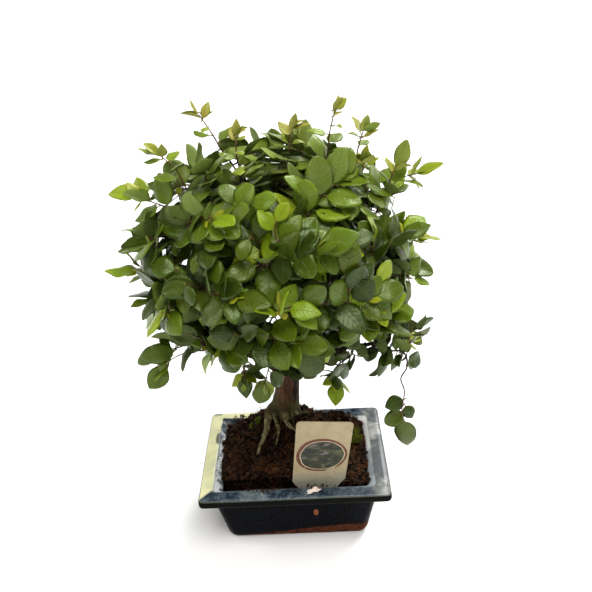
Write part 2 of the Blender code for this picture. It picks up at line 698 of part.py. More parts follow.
def crown_paths():
    """Routes for shoots that sweep round the crown's surface, spread evenly over it."""
    golden = math.pi * (3 - math.sqrt(5))
    for index in range(CROWN_SHOOTS):
        z = 0.99 - 1.75 * (index + 0.5) / CROWN_SHOOTS
        turn = index * golden + 0.6
        path = []
        for share, depth, drop in ((-1, 0.8, 0.12), (0, 0.92, 0.02), (1, 1.0, 0)):
            height = z - drop
            bulge = 2 if height > 0 else CROWN_SQUARENESS
            level = (1 - min(abs(height), 0.95) ** bulge) ** (1 / bulge)
            swept = turn + 0.5 * CROWN_SWEEP * share / max(level, 0.4)
            sideways = Vector((CROWN_X * math.cos(swept), CROWN_Y * math.sin(swept), 0)) * level
            tall = CROWN_UP if height > 0 else CROWN_DOWN
            path.append(CROWN_CENTRE + depth * (sideways + Vector((0, 0, tall * height))))
        yield path


def clear_shoot(knots, leaves, blade, taken, bases, rng):
    """A shoot from the nearest limb through these knots, moved where it would touch anything."""
    for start, out in starts_towards(knots[0], bases):
        for attempt in range(12):
            moved = [knot + jitter(rng, 0.7 * MM * attempt) for knot in knots]
            shoot = Shoot([start, start + FOOT_LENGTH * out, *moved], leaves, blade)
            if taken.is_clear(shoot.body(TWIG_ROOM)) and not crosses_itself(*shoot.mesh()):
                taken.bodies.append(shoot.body(CLEARANCE))
                return shoot
    raise RuntimeError("no clear way for a shoot")


def build_shoots():
    """The shoots that stand out, then the ones that fill the crown."""
    leaf_green = finish("leaf", (0.07, 0.14, 0.015), 0.4)
    rng = random.Random(SEED)
    taken = Taken()
    for rows in LIMBS.values():
        taken.bodies.append(Taken.body(*limb_tube(rows, LIMB_SIDES)))
    taken.bodies.append(Taken.body(*limb_tube(TRUNK, TRUNK_SIDES)))
    bases = limb_bases()
    shoots = {}
    for name, (rows, leaves, blade) in STRAY_SHOOTS.items():
        knots = [Vector(row) * MM for row in rows]
        shoots[name] = clear_shoot(knots, leaves, blade * MM, taken, bases, rng)
    for number, path in enumerate(crown_paths(), 1):
        shoot = clear_shoot(path, CROWN_LEAVES, CROWN_BLADE, taken, bases, rng)
        shoots[f"crown_shoot_{number:02d}"] = shoot
    for name, shoot in shoots.items():
        shoot.add_leaves(taken, rng)
        solid(name, *shoot.mesh(), leaf_green)


def main():
    for thing in list(bpy.data.objects):
        bpy.data.objects.remove(thing)
    build_pot()
    build_screens()
    build_soil()
    build_moss()
    build_trunk()
    build_label()
    build_shoots()


main()
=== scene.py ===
"""The looks of a potted bonsai tree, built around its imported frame."""

import math
import random

import bmesh
import bpy
import numpy as np
from bpy.props import FloatProperty, FloatVectorProperty, IntProperty, PointerProperty
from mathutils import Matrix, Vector, noise
from mathutils.bvhtree import BVHTree


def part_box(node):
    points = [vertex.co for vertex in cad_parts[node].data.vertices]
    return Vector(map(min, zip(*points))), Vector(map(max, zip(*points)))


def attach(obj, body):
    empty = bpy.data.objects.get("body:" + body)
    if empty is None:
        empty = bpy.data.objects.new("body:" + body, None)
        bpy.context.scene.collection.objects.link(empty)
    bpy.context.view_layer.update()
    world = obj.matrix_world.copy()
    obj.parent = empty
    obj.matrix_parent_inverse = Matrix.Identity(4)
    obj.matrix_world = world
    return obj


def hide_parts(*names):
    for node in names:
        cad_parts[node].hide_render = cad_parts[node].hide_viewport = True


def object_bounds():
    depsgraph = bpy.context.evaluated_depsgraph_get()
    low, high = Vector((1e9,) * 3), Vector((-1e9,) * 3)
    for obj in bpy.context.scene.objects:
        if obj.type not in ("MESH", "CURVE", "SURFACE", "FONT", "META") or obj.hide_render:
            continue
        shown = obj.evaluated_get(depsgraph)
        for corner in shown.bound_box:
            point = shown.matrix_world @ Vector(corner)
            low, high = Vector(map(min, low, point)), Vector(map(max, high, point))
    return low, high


bl_info = {
    "name": "Potted Bonsai",
    "version": (1, 0, 0),
    "blender": (4, 5, 0),
    "location": "3D View > Sidebar > Bonsai",
    "description": "Builds a leafy bonsai tree in a glazed pot, with its soil, moss and plant label",
    "category": "Add Mesh",
}

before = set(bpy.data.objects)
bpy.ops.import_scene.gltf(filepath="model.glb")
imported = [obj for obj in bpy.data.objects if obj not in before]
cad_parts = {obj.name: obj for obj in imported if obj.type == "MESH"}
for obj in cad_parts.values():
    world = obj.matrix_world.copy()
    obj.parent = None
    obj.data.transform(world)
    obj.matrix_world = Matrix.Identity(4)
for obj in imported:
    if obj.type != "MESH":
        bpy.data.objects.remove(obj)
cad_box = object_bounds()

MM = 0.001
UP = Vector((0, 0, 1))

# Pot, as in the CAD: how far each ring lies inside the lip's outline, its height and its
# corner radius, in mm.
POT_HALF_X = 75.0
POT_HALF_Y = 53.0
POT_RINGS = (
    (21.2, 0.0, 6.0), (17.8, 1.2, 8.0), (16.4, 4.2, 8.5), (9.6, 50.2, 6.0), (8.2, 52.0, 5.0),
    (1.6, 52.0, 3.2), (0.4, 52.8, 3.6), (0.0, 54.2, 3.8), (0.2, 58.4, 3.8), (1.6, 60.0, 3.0),
    (9.4, 60.0, 2.6), (11.3, 59.2, 3.0), (15.8, 54.5, 4.0), (17.0, 51.0, 4.0), (24.0, 9.0, 4.0),
    (27.0, 6.0, 3.0),
)
DRAIN_X = 27.0
DRAIN_RADIUS = 7.0

# Label, as in the CAD, in mm.
LABEL_TOP_HALF = 21.35
LABEL_SHOULDER_HALF = 20.9
LABEL_FOOT_HALF = 14.8
LABEL_HEIGHT = 68.2
LABEL_CHAMFER = 9.6
LABEL_CORNER = 3.5
LABEL_THICK = 0.8
LABEL_EDGE = 0.18
LABEL_FOOT_X = 18.1
LABEL_FOOT_Z = 51.4
LABEL_Y = -35.2
LABEL_LEAN = 0.119  # how far the card leans to the right, as a share of the height
LABEL_SLOPES = (-0.05, 0.075)  # how its foot and its top fall to the right
STAKE_HALF = 5.0
STAKE_LENGTH = 24.0
STAKE_SLOPE = 0.14
OVAL_MIDDLE = 35.2
OVAL_HALF_X = 19.6
OVAL_HALF_Z = 16.6

# Leaves
STALK = 2.5 * MM
WIDEST = 0.45  # where a CAD leaf is widest, as a share of its length
NARROWEST = 2.4 * MM  # every CAD leaf is wider than this there
KEEL = 1.0 * MM  # and its keel lies this far under its middle
BROAD_UP_TO = 24 * MM  # leaves longer than this are slimmer
SLIMMING = 25  # by this much for each metre more
LEAF_SECTIONS = 18
LEAF_SHARES = np.linspace(0, 1, LEAF_SECTIONS + 1)  # how far along the blade each section is
LEAF_COLUMNS = 6
STALK_SECTIONS = 3
LEAF_AROUND = 2 * LEAF_COLUMNS  # points round a section: its upper side and its lower side
LEAF_RINGS = STALK_SECTIONS + LEAF_SECTIONS + 1
CROWN_CENTRE = Vector((-4, 20, 236)) * MM
CROWN_X = 94 * MM
CROWN_Y = 88 * MM
CROWN_UP = 72 * MM
CROWN_DOWN = 56 * MM
CROWN_SQUARENESS = 3  # how squarely the crown's lower half is trimmed; 2 is an ellipsoid
GOLDEN_TURN = math.pi * (3 - math.sqrt(5))
# Layers of side twigs: how deep they end in the crown, 1 being its surface, how many are tried, how
# much free space each needs at its end, and how much each of its leaves needs.
CROWN_LAYERS = (
    (1.0, 520, 7 * MM, 3.2 * MM), (0.76, 260, 8 * MM, 3.0 * MM), (0.5, 110, 9 * MM, 3.0 * MM),
)
TWIG_STEP = 1.6 * MM
LEAFED_STEPS = 15  # how many of a side twig's last steps can hold leaves


def linear(code):
    """A colour given as RRGGBB, in linear light."""
    shares = [int(code[place:place + 2], 16) / 255 for place in (0, 2, 4)]
    return tuple(c / 12.92 if c <= 0.04045 else ((c + 0.055) / 1.055) ** 2.4 for c in shares)


def tint_of(colour):
    """A colour's three numbers, whether it is given as RRGGBB or as numbers."""
    return linear(colour) if isinstance(colour, str) else tuple(colour)


# ---------------------------------------------------------------- materials

class Signal:
    """A number that varies over a surface. Arithmetic on it adds Math nodes."""

    def __init__(self, finish, socket):
        self.finish = finish
        self.socket = socket

    def math(self, operation, *values):
        inputs = dict(enumerate(values))
        return self.finish.node("ShaderNodeMath", {"operation": operation}, inputs)

    def __add__(self, other):
        return self.math("ADD", self, other)

    __radd__ = __add__

    def __sub__(self, other):
        return self.math("SUBTRACT", self, other)

    def __rsub__(self, other):
        return self.math("SUBTRACT", other, self)

    def __mul__(self, other):
        return self.math("MULTIPLY", self, other)

    __rmul__ = __mul__

    def __truediv__(self, other):
        return self.math("DIVIDE", self, other)

    def __rtruediv__(self, other):
        return self.math("DIVIDE", other, self)

    def __pow__(self, other):
        return self.math("POWER", self, other)

    def __abs__(self):
        return self.math("ABSOLUTE", self)

    def fraction(self):
        return self.math("FRACT", self)

    def least(self, other):
        return self.math("MINIMUM", self, other)

    def most(self, other):
        return self.math("MAXIMUM", self, other)

    def between(self, low, high):
        """0 below low, 1 above high and smooth between; high may be the lower one."""
        settings = {"interpolation_type": "SMOOTHSTEP"}
        inputs = {"Value": self, "From Min": low, "From Max": high}
        return self.finish.node("ShaderNodeMapRange", settings, inputs)


class Nodes:
    """The nodes of a material or of the studio's surroundings."""

    def __init__(self, tree):
        self.tree = tree

    def plug(self, socket, value):
        """Links a socket, or sets it to a number, a vector or a colour."""
        if isinstance(value, Signal):
            self.tree.links.new(value.socket, socket)
        elif socket.type == "RGBA":
            socket.default_value = (*tint_of(value), 1)
        else:
            socket.default_value = value

    def node(self, kind, settings, inputs, output=0):
        """Adds a node: its settings first, then the values or links of its sockets."""
        made = self.tree.nodes.new(kind)
        for setting, value in settings.items():
            if setting == "stops":
                ramp = made.color_ramp
                while len(ramp.elements) < len(value):
                    ramp.elements.new(1)
                for element, (place, colour) in zip(ramp.elements, value):
                    element.position = place
                    element.color = (*tint_of(colour), 1)
            else:
                setattr(made, setting, value)
        for socket, value in inputs.items():
            self.plug(made.inputs[socket], value)
        return Signal(self, made.outputs[output])

    def place(self):
        """Where the surface is in the frame, in metres."""
        return self.node("ShaderNodeTexCoord", {}, {}, "Object")

    def parts(self, vector):
        """A vector's three numbers."""
        split = self.node("ShaderNodeSeparateXYZ", {}, {0: vector})
        return [Signal(self, output) for output in split.socket.node.outputs]

    def stored(self, name):
        """The three numbers that a mesh holds under this name."""
        return self.parts(self.node("ShaderNodeAttribute", {"attribute_name": name}, {}, "Vector"))

    def stretched(self, vector, shares):
        return self.node("ShaderNodeVectorMath", {"operation": "MULTIPLY"}, {0: vector, 1: shares})

    def noise(self, vector, scale, detail=3, roughness=0.5, distortion=0.0):
        inputs = {
            "Vector": vector, "Scale": scale, "Detail": detail, "Roughness": roughness,
            "Distortion": distortion,
        }
        return self.node("ShaderNodeTexNoise", {}, inputs)

    def cells(self, vector, scale, feature="F1"):
        return self.node("ShaderNodeTexVoronoi", {"feature": feature}, {"Vector": vector, "Scale": scale})

    def mix(self, share, first, second, how="MIX"):
        """The first colour where share is 0 and the second where it is 1."""
        settings = {"data_type": "RGBA", "blend_type": how}
        return self.node("ShaderNodeMix", settings, {0: share, 6: first, 7: second}, 2)

    def ramp(self, value, *stops):
        return self.node("ShaderNodeValToRGB", {"stops": stops}, {0: value})


class Finish(Nodes):
    """A material in the making: its nodes, and what they feed on the shader."""

    def __init__(self, name, **fixed):
        self.material = bpy.data.materials.new(name)
        self.material.use_nodes = True
        super().__init__(self.material.node_tree)
        self.shader = self.tree.nodes["Principled BSDF"]
        for socket, value in fixed.items():
            self.plug(self.shader.inputs[socket.replace("_", " ").title().replace("Ior", "IOR")], value)

    def bumped(self, height, distance, strength=1.0):
        inputs = {"Height": height, "Distance": distance, "Strength": strength}
        self.plug(self.shader.inputs["Normal"], self.node("ShaderNodeBump", {}, inputs))

    def wear(self, **inputs):
        """Feeds what varies over the surface, and returns the finished material."""
        for socket, value in inputs.items():
            self.plug(self.shader.inputs[socket.replace("_", " ").title()], value)
        return self.material


def wall_glaze(f, place, z, tints):
    """Blue-black, with bluer runs down the wall, faint specks, and an olive tinge on the lip's side."""
    run = f.noise(f.stretched(place, (30, 260, 60)), 3, 4, 0.6, 0.4)
    speck = f.cells(place, 620).between(0.2, 0.08) * f.noise(place, 300, 2).between(0.52, 0.6)
    glaze = f.mix(run.between(0.5, 0.68) * 0.5, tints.glaze, "0c1424")
    glaze = f.mix(speck * 0.25, glaze, "3a403c")
    lip = z.between(0.05, 0.0525) * z.between(0.0592, 0.0585)
    return f.mix(lip * 0.6, glaze, "14150f")


def rim_glaze(f, place, x, y, cloud, grain):
    """Blue-grey clouds, a painted silver reflection at the right end, and navy along the right half of the
    front.
    """
    blue = f.ramp(
        cloud * 0.45 + f.noise(place, 130, 4, 0.65) * 0.3 + grain * 0.25,
        (0.34, "10161c"), (0.43, "26323d"), (0.5, "4a5760"), (0.58, "737b7e"), (0.68, "a3a6a2"),
    )
    # painted reflection of the window on the rim's right end
    reflected_silver = f.mix(cloud.between(0.38, 0.66), "5c5f60", "b4b4ae")
    right_end = (x - abs(y) * 0.1).between(0.05, 0.062)
    glaze = f.mix(right_end * 0.85, blue, reflected_silver)
    navy = x.between(0.0, 0.03) * x.between(0.072, 0.055) * y.between(-0.04, -0.046)
    return f.mix(navy * 0.6, glaze, "16202c")


def slope_glaze(f, place, x, y):
    """The slope inside the rim: pale clouds, painted white reflections at both ends, and dark pits."""
    pool = f.noise(place, 60, 4, 0.65)
    glaze = f.mix(pool.between(0.35, 0.62), "4a545c", "a5acb0")
    glint_right = x.between(0.055, 0.058) * (y - pool * 0.03).between(-0.022, -0.012)
    glint_left = x.between(-0.055, -0.058) * pool.between(0.4, 0.5)
    # painted reflections: white streaks where the window shows in the slope
    glaze = f.mix(glint_right.most(glint_left * 0.8), glaze, "f2f3f2")
    return f.mix(pool.between(0.36, 0.3), glaze, "1d242a")


def painted_reflection(f, place, x, y, cloud, tints):
    """A painted reflection of a bright window, cream, with a grey smudge on the left side, a dark back
    corner, and black pinholes.
    """
    cream = f.mix(f.noise(place, 60, 3).between(0.4, 0.66), tints.cream, "d8d9ae")
    smudge_x = (x + 0.0645) / 0.0035
    smudge_y = (y - 0.019) / 0.0075
    smudge = (smudge_x * smudge_x + smudge_y * smudge_y + (cloud - 0.5) * 3.0).between(1.2, 0.5)
    cream = f.mix(smudge * 0.85, cream, "2f3840")
    corner = (x + 0.0655).between(0.001, -0.001) * y.between(0.048, 0.0505)
    cream = f.mix(corner * 0.8, cream, "23262a")
    pinholes = f.cells(place, 230).between(0.16, 0.1) * f.noise(place, 90, 2).between(0.5, 0.58)
    return f.mix(pinholes, cream, "1b1c16")


def painted_reflection_share(f, place, x, y, z):
    """Where the rim shows the painted cream reflection: all along its left side, and along its back to near
    the middle.
    """
    wander = (f.noise(place, 26, 3) - 0.5) * 0.01
    mitre = (y - x + wander).between(0.0225, 0.0255)
    left = (x + wander * 0.5).between(-0.0635, -0.0655) * mitre
    back = (y + wander).between(0.0435, 0.0455) * (x + wander * 4).between(0.004, -0.022)
    # gaps where the painted reflection breaks up
    reflection_gaps = f.noise(place, 55, 3, 0.6).between(0.66, 0.71)
    return left.most(back) * z.between(0.0585, 0.0596) * (1 - reflection_gaps * 0.6)


def bare_places(f, place, x, y, z):
    """Where clay shows: along the foot, widest at its right end, and in a chip in the front wall."""
    reach = (0.0083 + x * 0.12).most(0.0015).least(0.0125) + (f.noise(place, 60, 4, 0.6) - 0.5) * 0.004
    reach = reach + x.between(0.058, 0.064) * 0.02
    foot = (z - reach).between(0.0006, -0.0004)
    chip_x = (x - 0.0158) / 0.002
    chip_z = (z - 0.031) / 0.0042
    chip_round = chip_x * chip_x + chip_z * chip_z + (f.noise(place, 500, 3) - 0.5) * 1.2
    return foot, chip_round.between(1.05, 0.85) * y.between(-0.02, -0.03)


def glaze_finish(tints):
    """Mottled blue-black glaze, with a painted cream reflection round the left and back rim, painted silver
    and white reflections at the right end and inside the rim, and worn off the foot's right end.
    """
    f = Finish("mottled_glaze", specular_ior_level=0.015, coat_roughness=0.12)
    place = f.place()
    x, y, z = f.parts(place)
    cloud = f.noise(place, 38, 5, 0.62, 0.6)
    grain = f.noise(place, 420, 3, 0.6)
    top = z.between(0.0587, 0.0597)
    skin = f.mix(top, wall_glaze(f, place, z, tints), rim_glaze(f, place, x, y, cloud, grain))
    inside = abs(x).between(0.0665, 0.0645) * abs(y).between(0.0445, 0.0425)
    slope = z.between(0.0598, 0.0585) * z.between(0.049, 0.053)
    skin = f.mix(inside * slope, skin, slope_glaze(f, place, x, y))
    # painted reflection: a bright window's cream reflection on the rim's left and back
    skin = f.mix(painted_reflection_share(f, place, x, y, z), skin, painted_reflection(f, place, x, y, cloud, tints))
    edge = z.between(0.0584, 0.059) * z.between(0.0597, 0.0593) * (1 - inside)
    skin = f.mix(edge * (0.2 + 0.5 * f.noise(place, 150, 2)), skin, "6f756b")

    foot, chip = bare_places(f, place, x, y, z)
    bare = foot.most(chip)
    clay = f.mix(f.noise(place, 240, 4, 0.7).between(0.3, 0.6), "30170d", tints.clay)
    skin = f.mix(bare, skin, f.mix(chip * 0.55, clay, "a05f3c"))
    f.bumped(cloud * 0.5 + grain * 0.12 + bare * grain * 0.8, 0.0005, 0.5)
    return f.wear(
        base_color=skin, roughness=0.22 + bare * 0.6 + grain * 0.1, coat_weight=top * 0.35 * (1 - bare),
    )


def leaf_finish(tints):
    """Glossy veined leaves: grown ones of random tone, with a painted sheen high at the back and painted
    shade low down and at the front; yellow and bronze when young, paler beneath; brown stalks.
    """
    f = Finish("leaf_skin", specular_ior_level=0.38, specular_tint=(0.8, 1.0, 0.5), coat_roughness=0.25)
    along, across, under = f.stored("leaf_place")
    tone, young, seed = f.stored("leaf_kind")
    place = f.place()
    spread = abs(across)
    midrib = spread.between(0.05, 0.012) * along.between(1.0, 0.8)
    ribs = (along * 6.5 - spread ** 1.25 * 2.1 + seed * 3).fraction()
    side_veins = abs(ribs - 0.5).between(0.075, 0.015) * spread.between(0.95, 0.55)
    net = f.cells(place, 900, "DISTANCE_TO_EDGE").between(0.06, 0.0)
    patch = f.noise(place, 150, 3, 0.6)
    fine = f.noise(place, 700, 2, 0.5)

    old = f.mix(tone, tints.leaf_dark, tints.leaf)
    old = f.mix(seed.between(0.55, 1.0) * 0.6, old, tints.leaf_olive)
    fresh = f.ramp(
        young, (0.0, tints.leaf), (0.3, "718b0e"), (0.55, "959d1c"), (0.8, "a89a38"), (1.0, "a07240"),
    )
    skin = f.mix(young.between(0.05, 0.35), old, fresh)
    _, y, z = f.parts(place)
    light_level = z + y * 0.5  # higher at the top and the back, where the painted light makes the leaves paler
    # painted sheen: paler high at the back, where the window light falls
    skin = f.mix(light_level.between(0.26, 0.33) * 0.26, skin, "94a050")
    skin = f.mix(patch.between(0.3, 0.7) * 0.4, skin, f.mix(0.5, skin, "66801a"))
    skin = f.mix(spread.between(0.86, 1.0) * 0.15, skin, "6f7f2c")
    skin = f.mix(side_veins * 0.12 + net * 0.05, skin, "7a8f2c")
    skin = f.mix(midrib * 0.3, skin, "8b9c3c")
    # painted shade: darker low down and at the front of the crown
    shaded = light_level.between(0.285, 0.225) * (1 - young.between(0.1, 0.3))
    skin = f.mix(shaded * 0.4, skin, tints.leaf_dark)
    skin = f.mix(under, skin, f.mix(0.4, skin, "8d9c5c"))
    skin = f.mix(along.between(0.0, -0.1), skin, "6e5a2c")
    f.bumped(0.9 * patch + 0.15 * fine - 0.5 * side_veins - 0.8 * midrib, 0.0007, 0.8)
    return f.wear(
        base_color=skin, roughness=0.27 + under * 0.35 + fine * 0.12, coat_weight=0.12 - under * 0.12,
    )


def bark_finish(tints):
    """Smooth red-brown bark, rough and darker on its right, olive at the base, with roots that are paler and
    carry a painted highlight.
    """
    f = Finish("bark", specular_ior_level=0.2)
    place = f.place()
    x, y, z = f.parts(place)
    long_grain = f.noise(f.stretched(place, (1, 1, 0.25)), 420, 4, 0.65, 0.8)
    flakes = f.cells(f.stretched(place, (1, 1, 0.4)), 260)
    broad = f.noise(place, 70, 4, 0.6)
    mix = long_grain * 0.7 + flakes * 0.3
    smooth = f.ramp(mix, (0.25, "2b190f"), (0.48, tints.bark), (0.62, "604028"), (0.8, "80593c"))
    rough = f.ramp(mix, (0.3, "0f0906"), (0.5, "20150d"), (0.62, "3a2818"), (0.78, "5f4a30"))
    old_side = (x + (broad - 0.5) * 0.008).between(0.0005, 0.0025) * z.between(0.14, 0.12)
    brown = f.mix(old_side.most(z.between(0.122, 0.14) * 0.8), smooth, rough)
    olive = f.ramp(
        long_grain * 0.6 + broad * 0.4,
        (0.3, "181208"), (0.48, "383018"), (0.62, "5a4f2c"), (0.78, "857a50"),
    )
    low = (z + (broad - 0.5) * 0.03).between(0.108, 0.094)
    skin = f.mix(low, brown, olive)
    # paler root colour, partly a painted highlight along the roots
    pale_root_and_highlight = f.mix(long_grain.between(0.35, 0.65), "453c24", "948b62")
    rooty = (z + (broad - 0.5) * 0.012).between(0.092, 0.087) * y.between(0.016, 0.011)
    skin = f.mix(rooty * 0.85, skin, pale_root_and_highlight)
    moss = low * f.noise(place, 180, 3).between(0.56, 0.68)
    skin = f.mix(moss * 0.5, skin, "46521a")
    f.bumped(long_grain * 0.8 + flakes * 0.5, 0.0009, 0.9)
    return f.wear(base_color=skin, roughness=0.72 + broad * 0.2)


def twig_finish():
    """Thin shoots: dark brown where they are old, lighter and then olive towards their tips."""
    f = Finish("twig_skin", specular_ior_level=0.35)
    age, _, _ = f.stored("twig_place")
    place = f.place()
    grain = f.noise(f.stretched(place, (1, 1, 0.5)), 600, 3, 0.6)
    skin = f.ramp(
        age + (grain - 0.5) * 0.2,
        (0.0, "140d08"), (0.45, "261810"), (0.8, "4f331c"), (1.0, "6f5a28"),
    )
    f.bumped(grain, 0.0004, 0.7)
    return f.wear(base_color=skin, roughness=0.55 + grain * 0.25)


def soil_finish(name, tints, warmth):
    """Dark fibrous soil, with painted shade between its lumps, so lighter on them than between them."""
    f = Finish(name, specular_ior_level=0.08)
    place = f.place()
    lift, _, _ = f.stored("soil_lift")
    lumps = f.noise(place, 130, 5, 0.7)
    fine = f.noise(place, 900, 3, 0.7)
    strands = f.noise(f.stretched(place, (1, 0.35, 1)), 700, 3, 0.6, 2.0)
    # painted shade: the less a point was lifted, the darker it is
    soil = f.ramp(
        lift * 0.4 + lumps * 0.3 + fine * 0.3,
        (0.32, "060302"), (0.46, "130904"), (0.57, tints.soil),
        (0.68, "492c14"), (0.82, "75562f"),
    )
    soil = f.mix(strands.between(0.62, 0.7) * warmth, soil, "6d4828")
    f.bumped(lumps * 0.6 + fine * 0.7 + strands * 0.3, 0.0012, 1.0)
    return f.wear(base_color=soil, roughness=0.9 + fine * 0.1)


def strand_finish(name, light, dark):
    """Dry strands and crumbs, each of its own shade."""
    f = Finish(name, specular_ior_level=0.2)
    shade, _, _ = f.stored("strand_kind")
    grain = f.noise(f.place(), 800, 3, 0.6)
    f.bumped(grain, 0.0005, 0.7)
    return f.wear(base_color=f.mix(shade * 0.8 + grain * 0.2, dark, light), roughness=0.85 + grain * 0.1)


def moss_finish(tints):
    """Yellow-green shoots over a brown mat."""
    f = Finish("moss_tufts", specular_ior_level=0.1)
    shade, height, mat = f.stored("strand_kind")
    grain = f.noise(f.place(), 700, 3, 0.6)
    green = f.mix(shade, "33400c", tints.moss)
    green = f.mix(height.between(0.3, 1.0) * 0.6, green, "8f9630")
    green = f.mix(mat, green, f.mix(grain.between(0.35, 0.65), "150c05", "35250f"))
    f.bumped(grain, 0.0004, 0.5)
    return f.wear(base_color=green, roughness=0.8 + grain * 0.15)


def brush_stroke(f, place, across, up, fine):
    """An oval ring drawn with a dry brush, and how far a point is out from its middle to its inner edge."""
    step_x = across / OVAL_HALF_X
    step_z = (up - OVAL_MIDDLE) / OVAL_HALF_Z
    reach = (step_x * step_x + step_z * step_z) ** 0.5
    lean = (step_z * 0.7 - step_x * 0.7) / reach.most(0.2)
    width = 0.09 + lean.between(-0.2, 1.0) * 0.06 + (f.noise(place, 150, 3, 0.6) - 0.5) * 0.07
    ring = reach.between(1.012, 0.992) * (reach + width).between(0.985, 1.005)
    gap = (step_x - 0.42) * 4.0 + (step_z + 0.86) * -3.0
    broken = 1 - abs(gap + (fine - 0.5) * 1.2).between(0.55, 0.3) * step_z.between(-0.6, -0.75)
    dry = 1 - f.noise(place, 420, 2).between(0.63, 0.7) * 0.6
    return ring * broken * dry, reach + width


def leafy_picture(f, across, up):
    """Dark blades of grass and leaf, with a few pale spots."""
    flat = f.node("ShaderNodeCombineXYZ", {}, {0: across, 1: up, 2: 0.0})
    inputs = {"Vector": flat, "Rotation": (0, 0, 0.5), "Scale": (0.05, 0.11, 1)}
    turned = f.node("ShaderNodeMapping", {}, inputs)
    picture = f.ramp(
        f.noise(turned, 1.6, 4, 0.6, 1.2),
        (0.3, "0b0b06"), (0.45, "1d1d0f"), (0.54, "33371a"), (0.62, "4a4c2a"), (0.74, "8b8878"),
    )
    return f.mix(f.noise(turned, 2.3, 2, 0.5).between(0.56, 0.7) * 0.75, picture, "6f6168")


def card_dirt(f, place, up):
    """Specks and scratches, thicker towards the foot, and a smear of soil at the very foot."""
    specks = f.cells(place, 330).between(0.24, 0.1) * f.noise(place, 130, 3).between(0.5, 0.62)
    scratches = f.noise(f.stretched(place, (1.0, 1.0, 3.0)), 330, 3, 0.6).between(0.64, 0.7) * 0.5
    dirt = (specks * (0.55 + up.between(20.0, 6.0) * 0.6)).most(scratches * up.between(60.0, 10.0))
    smear = f.noise(f.stretched(place, (1, 1, 0.4)), 260, 4, 0.7).between(0.58, 0.66) * up.between(7.0, 2.0)
    return dirt, smear


def label_finish(tints):
    """A printed card: an oval brush ring round a leafy picture, and dirt near the foot."""
    f = Finish("printed_card", specular_ior_level=0.4)
    across, up, front = f.stored("card_place")
    place = f.place()
    mottle = f.noise(place, 110, 4, 0.6)
    fine = f.noise(place, 900, 2)
    card = f.mix(mottle.between(0.3, 0.7), tints.card, "9c8c69")
    card = f.mix(up.between(24.0, 2.0) * 0.75, card, "a9aa9c")

    ring, inward = brush_stroke(f, place, across, up, fine)
    inner = inward.between(0.965, 0.95)
    printed = f.mix(inward.between(0.985, 0.97) * (1 - inner) * 0.6, card, "e0d2b4")
    printed = f.mix(inner, printed, leafy_picture(f, across, up))
    printed = f.mix(ring, printed, f.mix(mottle, "451c07", "6b310f"))

    dirt, smear = card_dirt(f, place, up)
    face = f.mix(dirt.most(smear * 0.85).least(1.0), f.mix(front, card, printed), "2a2018")
    f.bumped(mottle * 0.5 + fine * 0.1 + dirt, 0.0003, 0.4)
    return f.wear(base_color=face, roughness=0.38 + mottle * 0.15 + dirt * 0.3)


def screen_finish():
    """Black moulded plastic with soil dust on it."""
    f = Finish("moulded_mesh", specular_ior_level=0.4)
    grain = f.noise(f.place(), 900, 3, 0.6)
    f.bumped(grain, 0.0003, 0.5)
    skin = f.mix(grain, "0d0d0d", "26221c")
    return f.wear(base_color=skin, roughness=0.5 + grain * 0.2)


def petal_finish():
    """A dried petal, pink-white with browned edges."""
    f = Finish("dried_petal", specular_ior_level=0.3)
    place = f.place()
    blotch = f.noise(place, 420, 4, 0.6)
    skin = f.ramp(blotch, (0.3, "b98f7c"), (0.45, "e3cdbf"), (0.62, "f4ebe4"))
    f.bumped(blotch, 0.0006, 0.6)
    return f.wear(base_color=skin, roughness=0.5 + blotch * 0.2)


def floor_finish():
    """Nearly white, a little uneven."""
    f = Finish("pale_floor", specular_ior_level=0.1)
    grain = f.noise(f.place(), 30, 2)
    return f.wear(base_color=f.mix(grain, "f6f6f6", "f9f9f9"), roughness=0.9)


# ---------------------------------------------------------------- meshes

def make_mesh(name, points, faces, smooth=True, stored=None):
    """A mesh object; stored holds three numbers for each point, under a name."""
    mesh = bpy.data.meshes.new(name)
    mesh.from_pydata(np.asarray(points).tolist(), [], faces)
    mesh.polygons.foreach_set("use_smooth", [smooth] * len(mesh.polygons))
    for label, values in (stored or {}).items():
        layer = mesh.attributes.new(label, "FLOAT_VECTOR", "POINT")
        layer.data.foreach_set("vector", np.asarray(values, np.float32).ravel())
    mesh.update()
    made = bpy.data.objects.new(name, mesh)
    bpy.context.scene.collection.objects.link(made)
    return made


def shown(piece, material, slot=None, nodes=()):
    """Gives a piece its finish, hangs it from the root body, and hides the CAD nodes it stands for."""
    piece.data.materials.clear()
    piece.data.materials.append(material)
    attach(piece, "root")
    if nodes:
        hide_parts(*nodes)
    return piece


def evaluated(source):
    """The mesh that an object's modifiers make, in place of the object."""
    depsgraph = bpy.context.evaluated_depsgraph_get()
    mesh = bpy.data.meshes.new_from_object(source.evaluated_get(depsgraph))
    name = source.name
    bpy.data.objects.remove(source)
    made = bpy.data.objects.new(name, mesh)
    mesh.name = name
    bpy.context.scene.collection.objects.link(made)
    return made


def remeshed(name, node, voxel, smoothing):
    """A CAD node's shape in small even faces, with its edges rounded."""
    copy = bpy.data.objects.new(name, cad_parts[node].data.copy())
    bpy.context.scene.collection.objects.link(copy)
    weld = copy.modifiers.new("weld", "WELD")
    weld.merge_threshold = 0.001 * MM
    remesh = copy.modifiers.new("remesh", "REMESH")
    remesh.mode = "VOXEL"
    remesh.voxel_size = voxel
    smooth = copy.modifiers.new("smooth", "SMOOTH")
    smooth.factor = 0.5
    smooth.iterations = smoothing
    made = evaluated(copy)
    made.data.polygons.foreach_set("use_smooth", [True] * len(made.data.polygons))
    return made


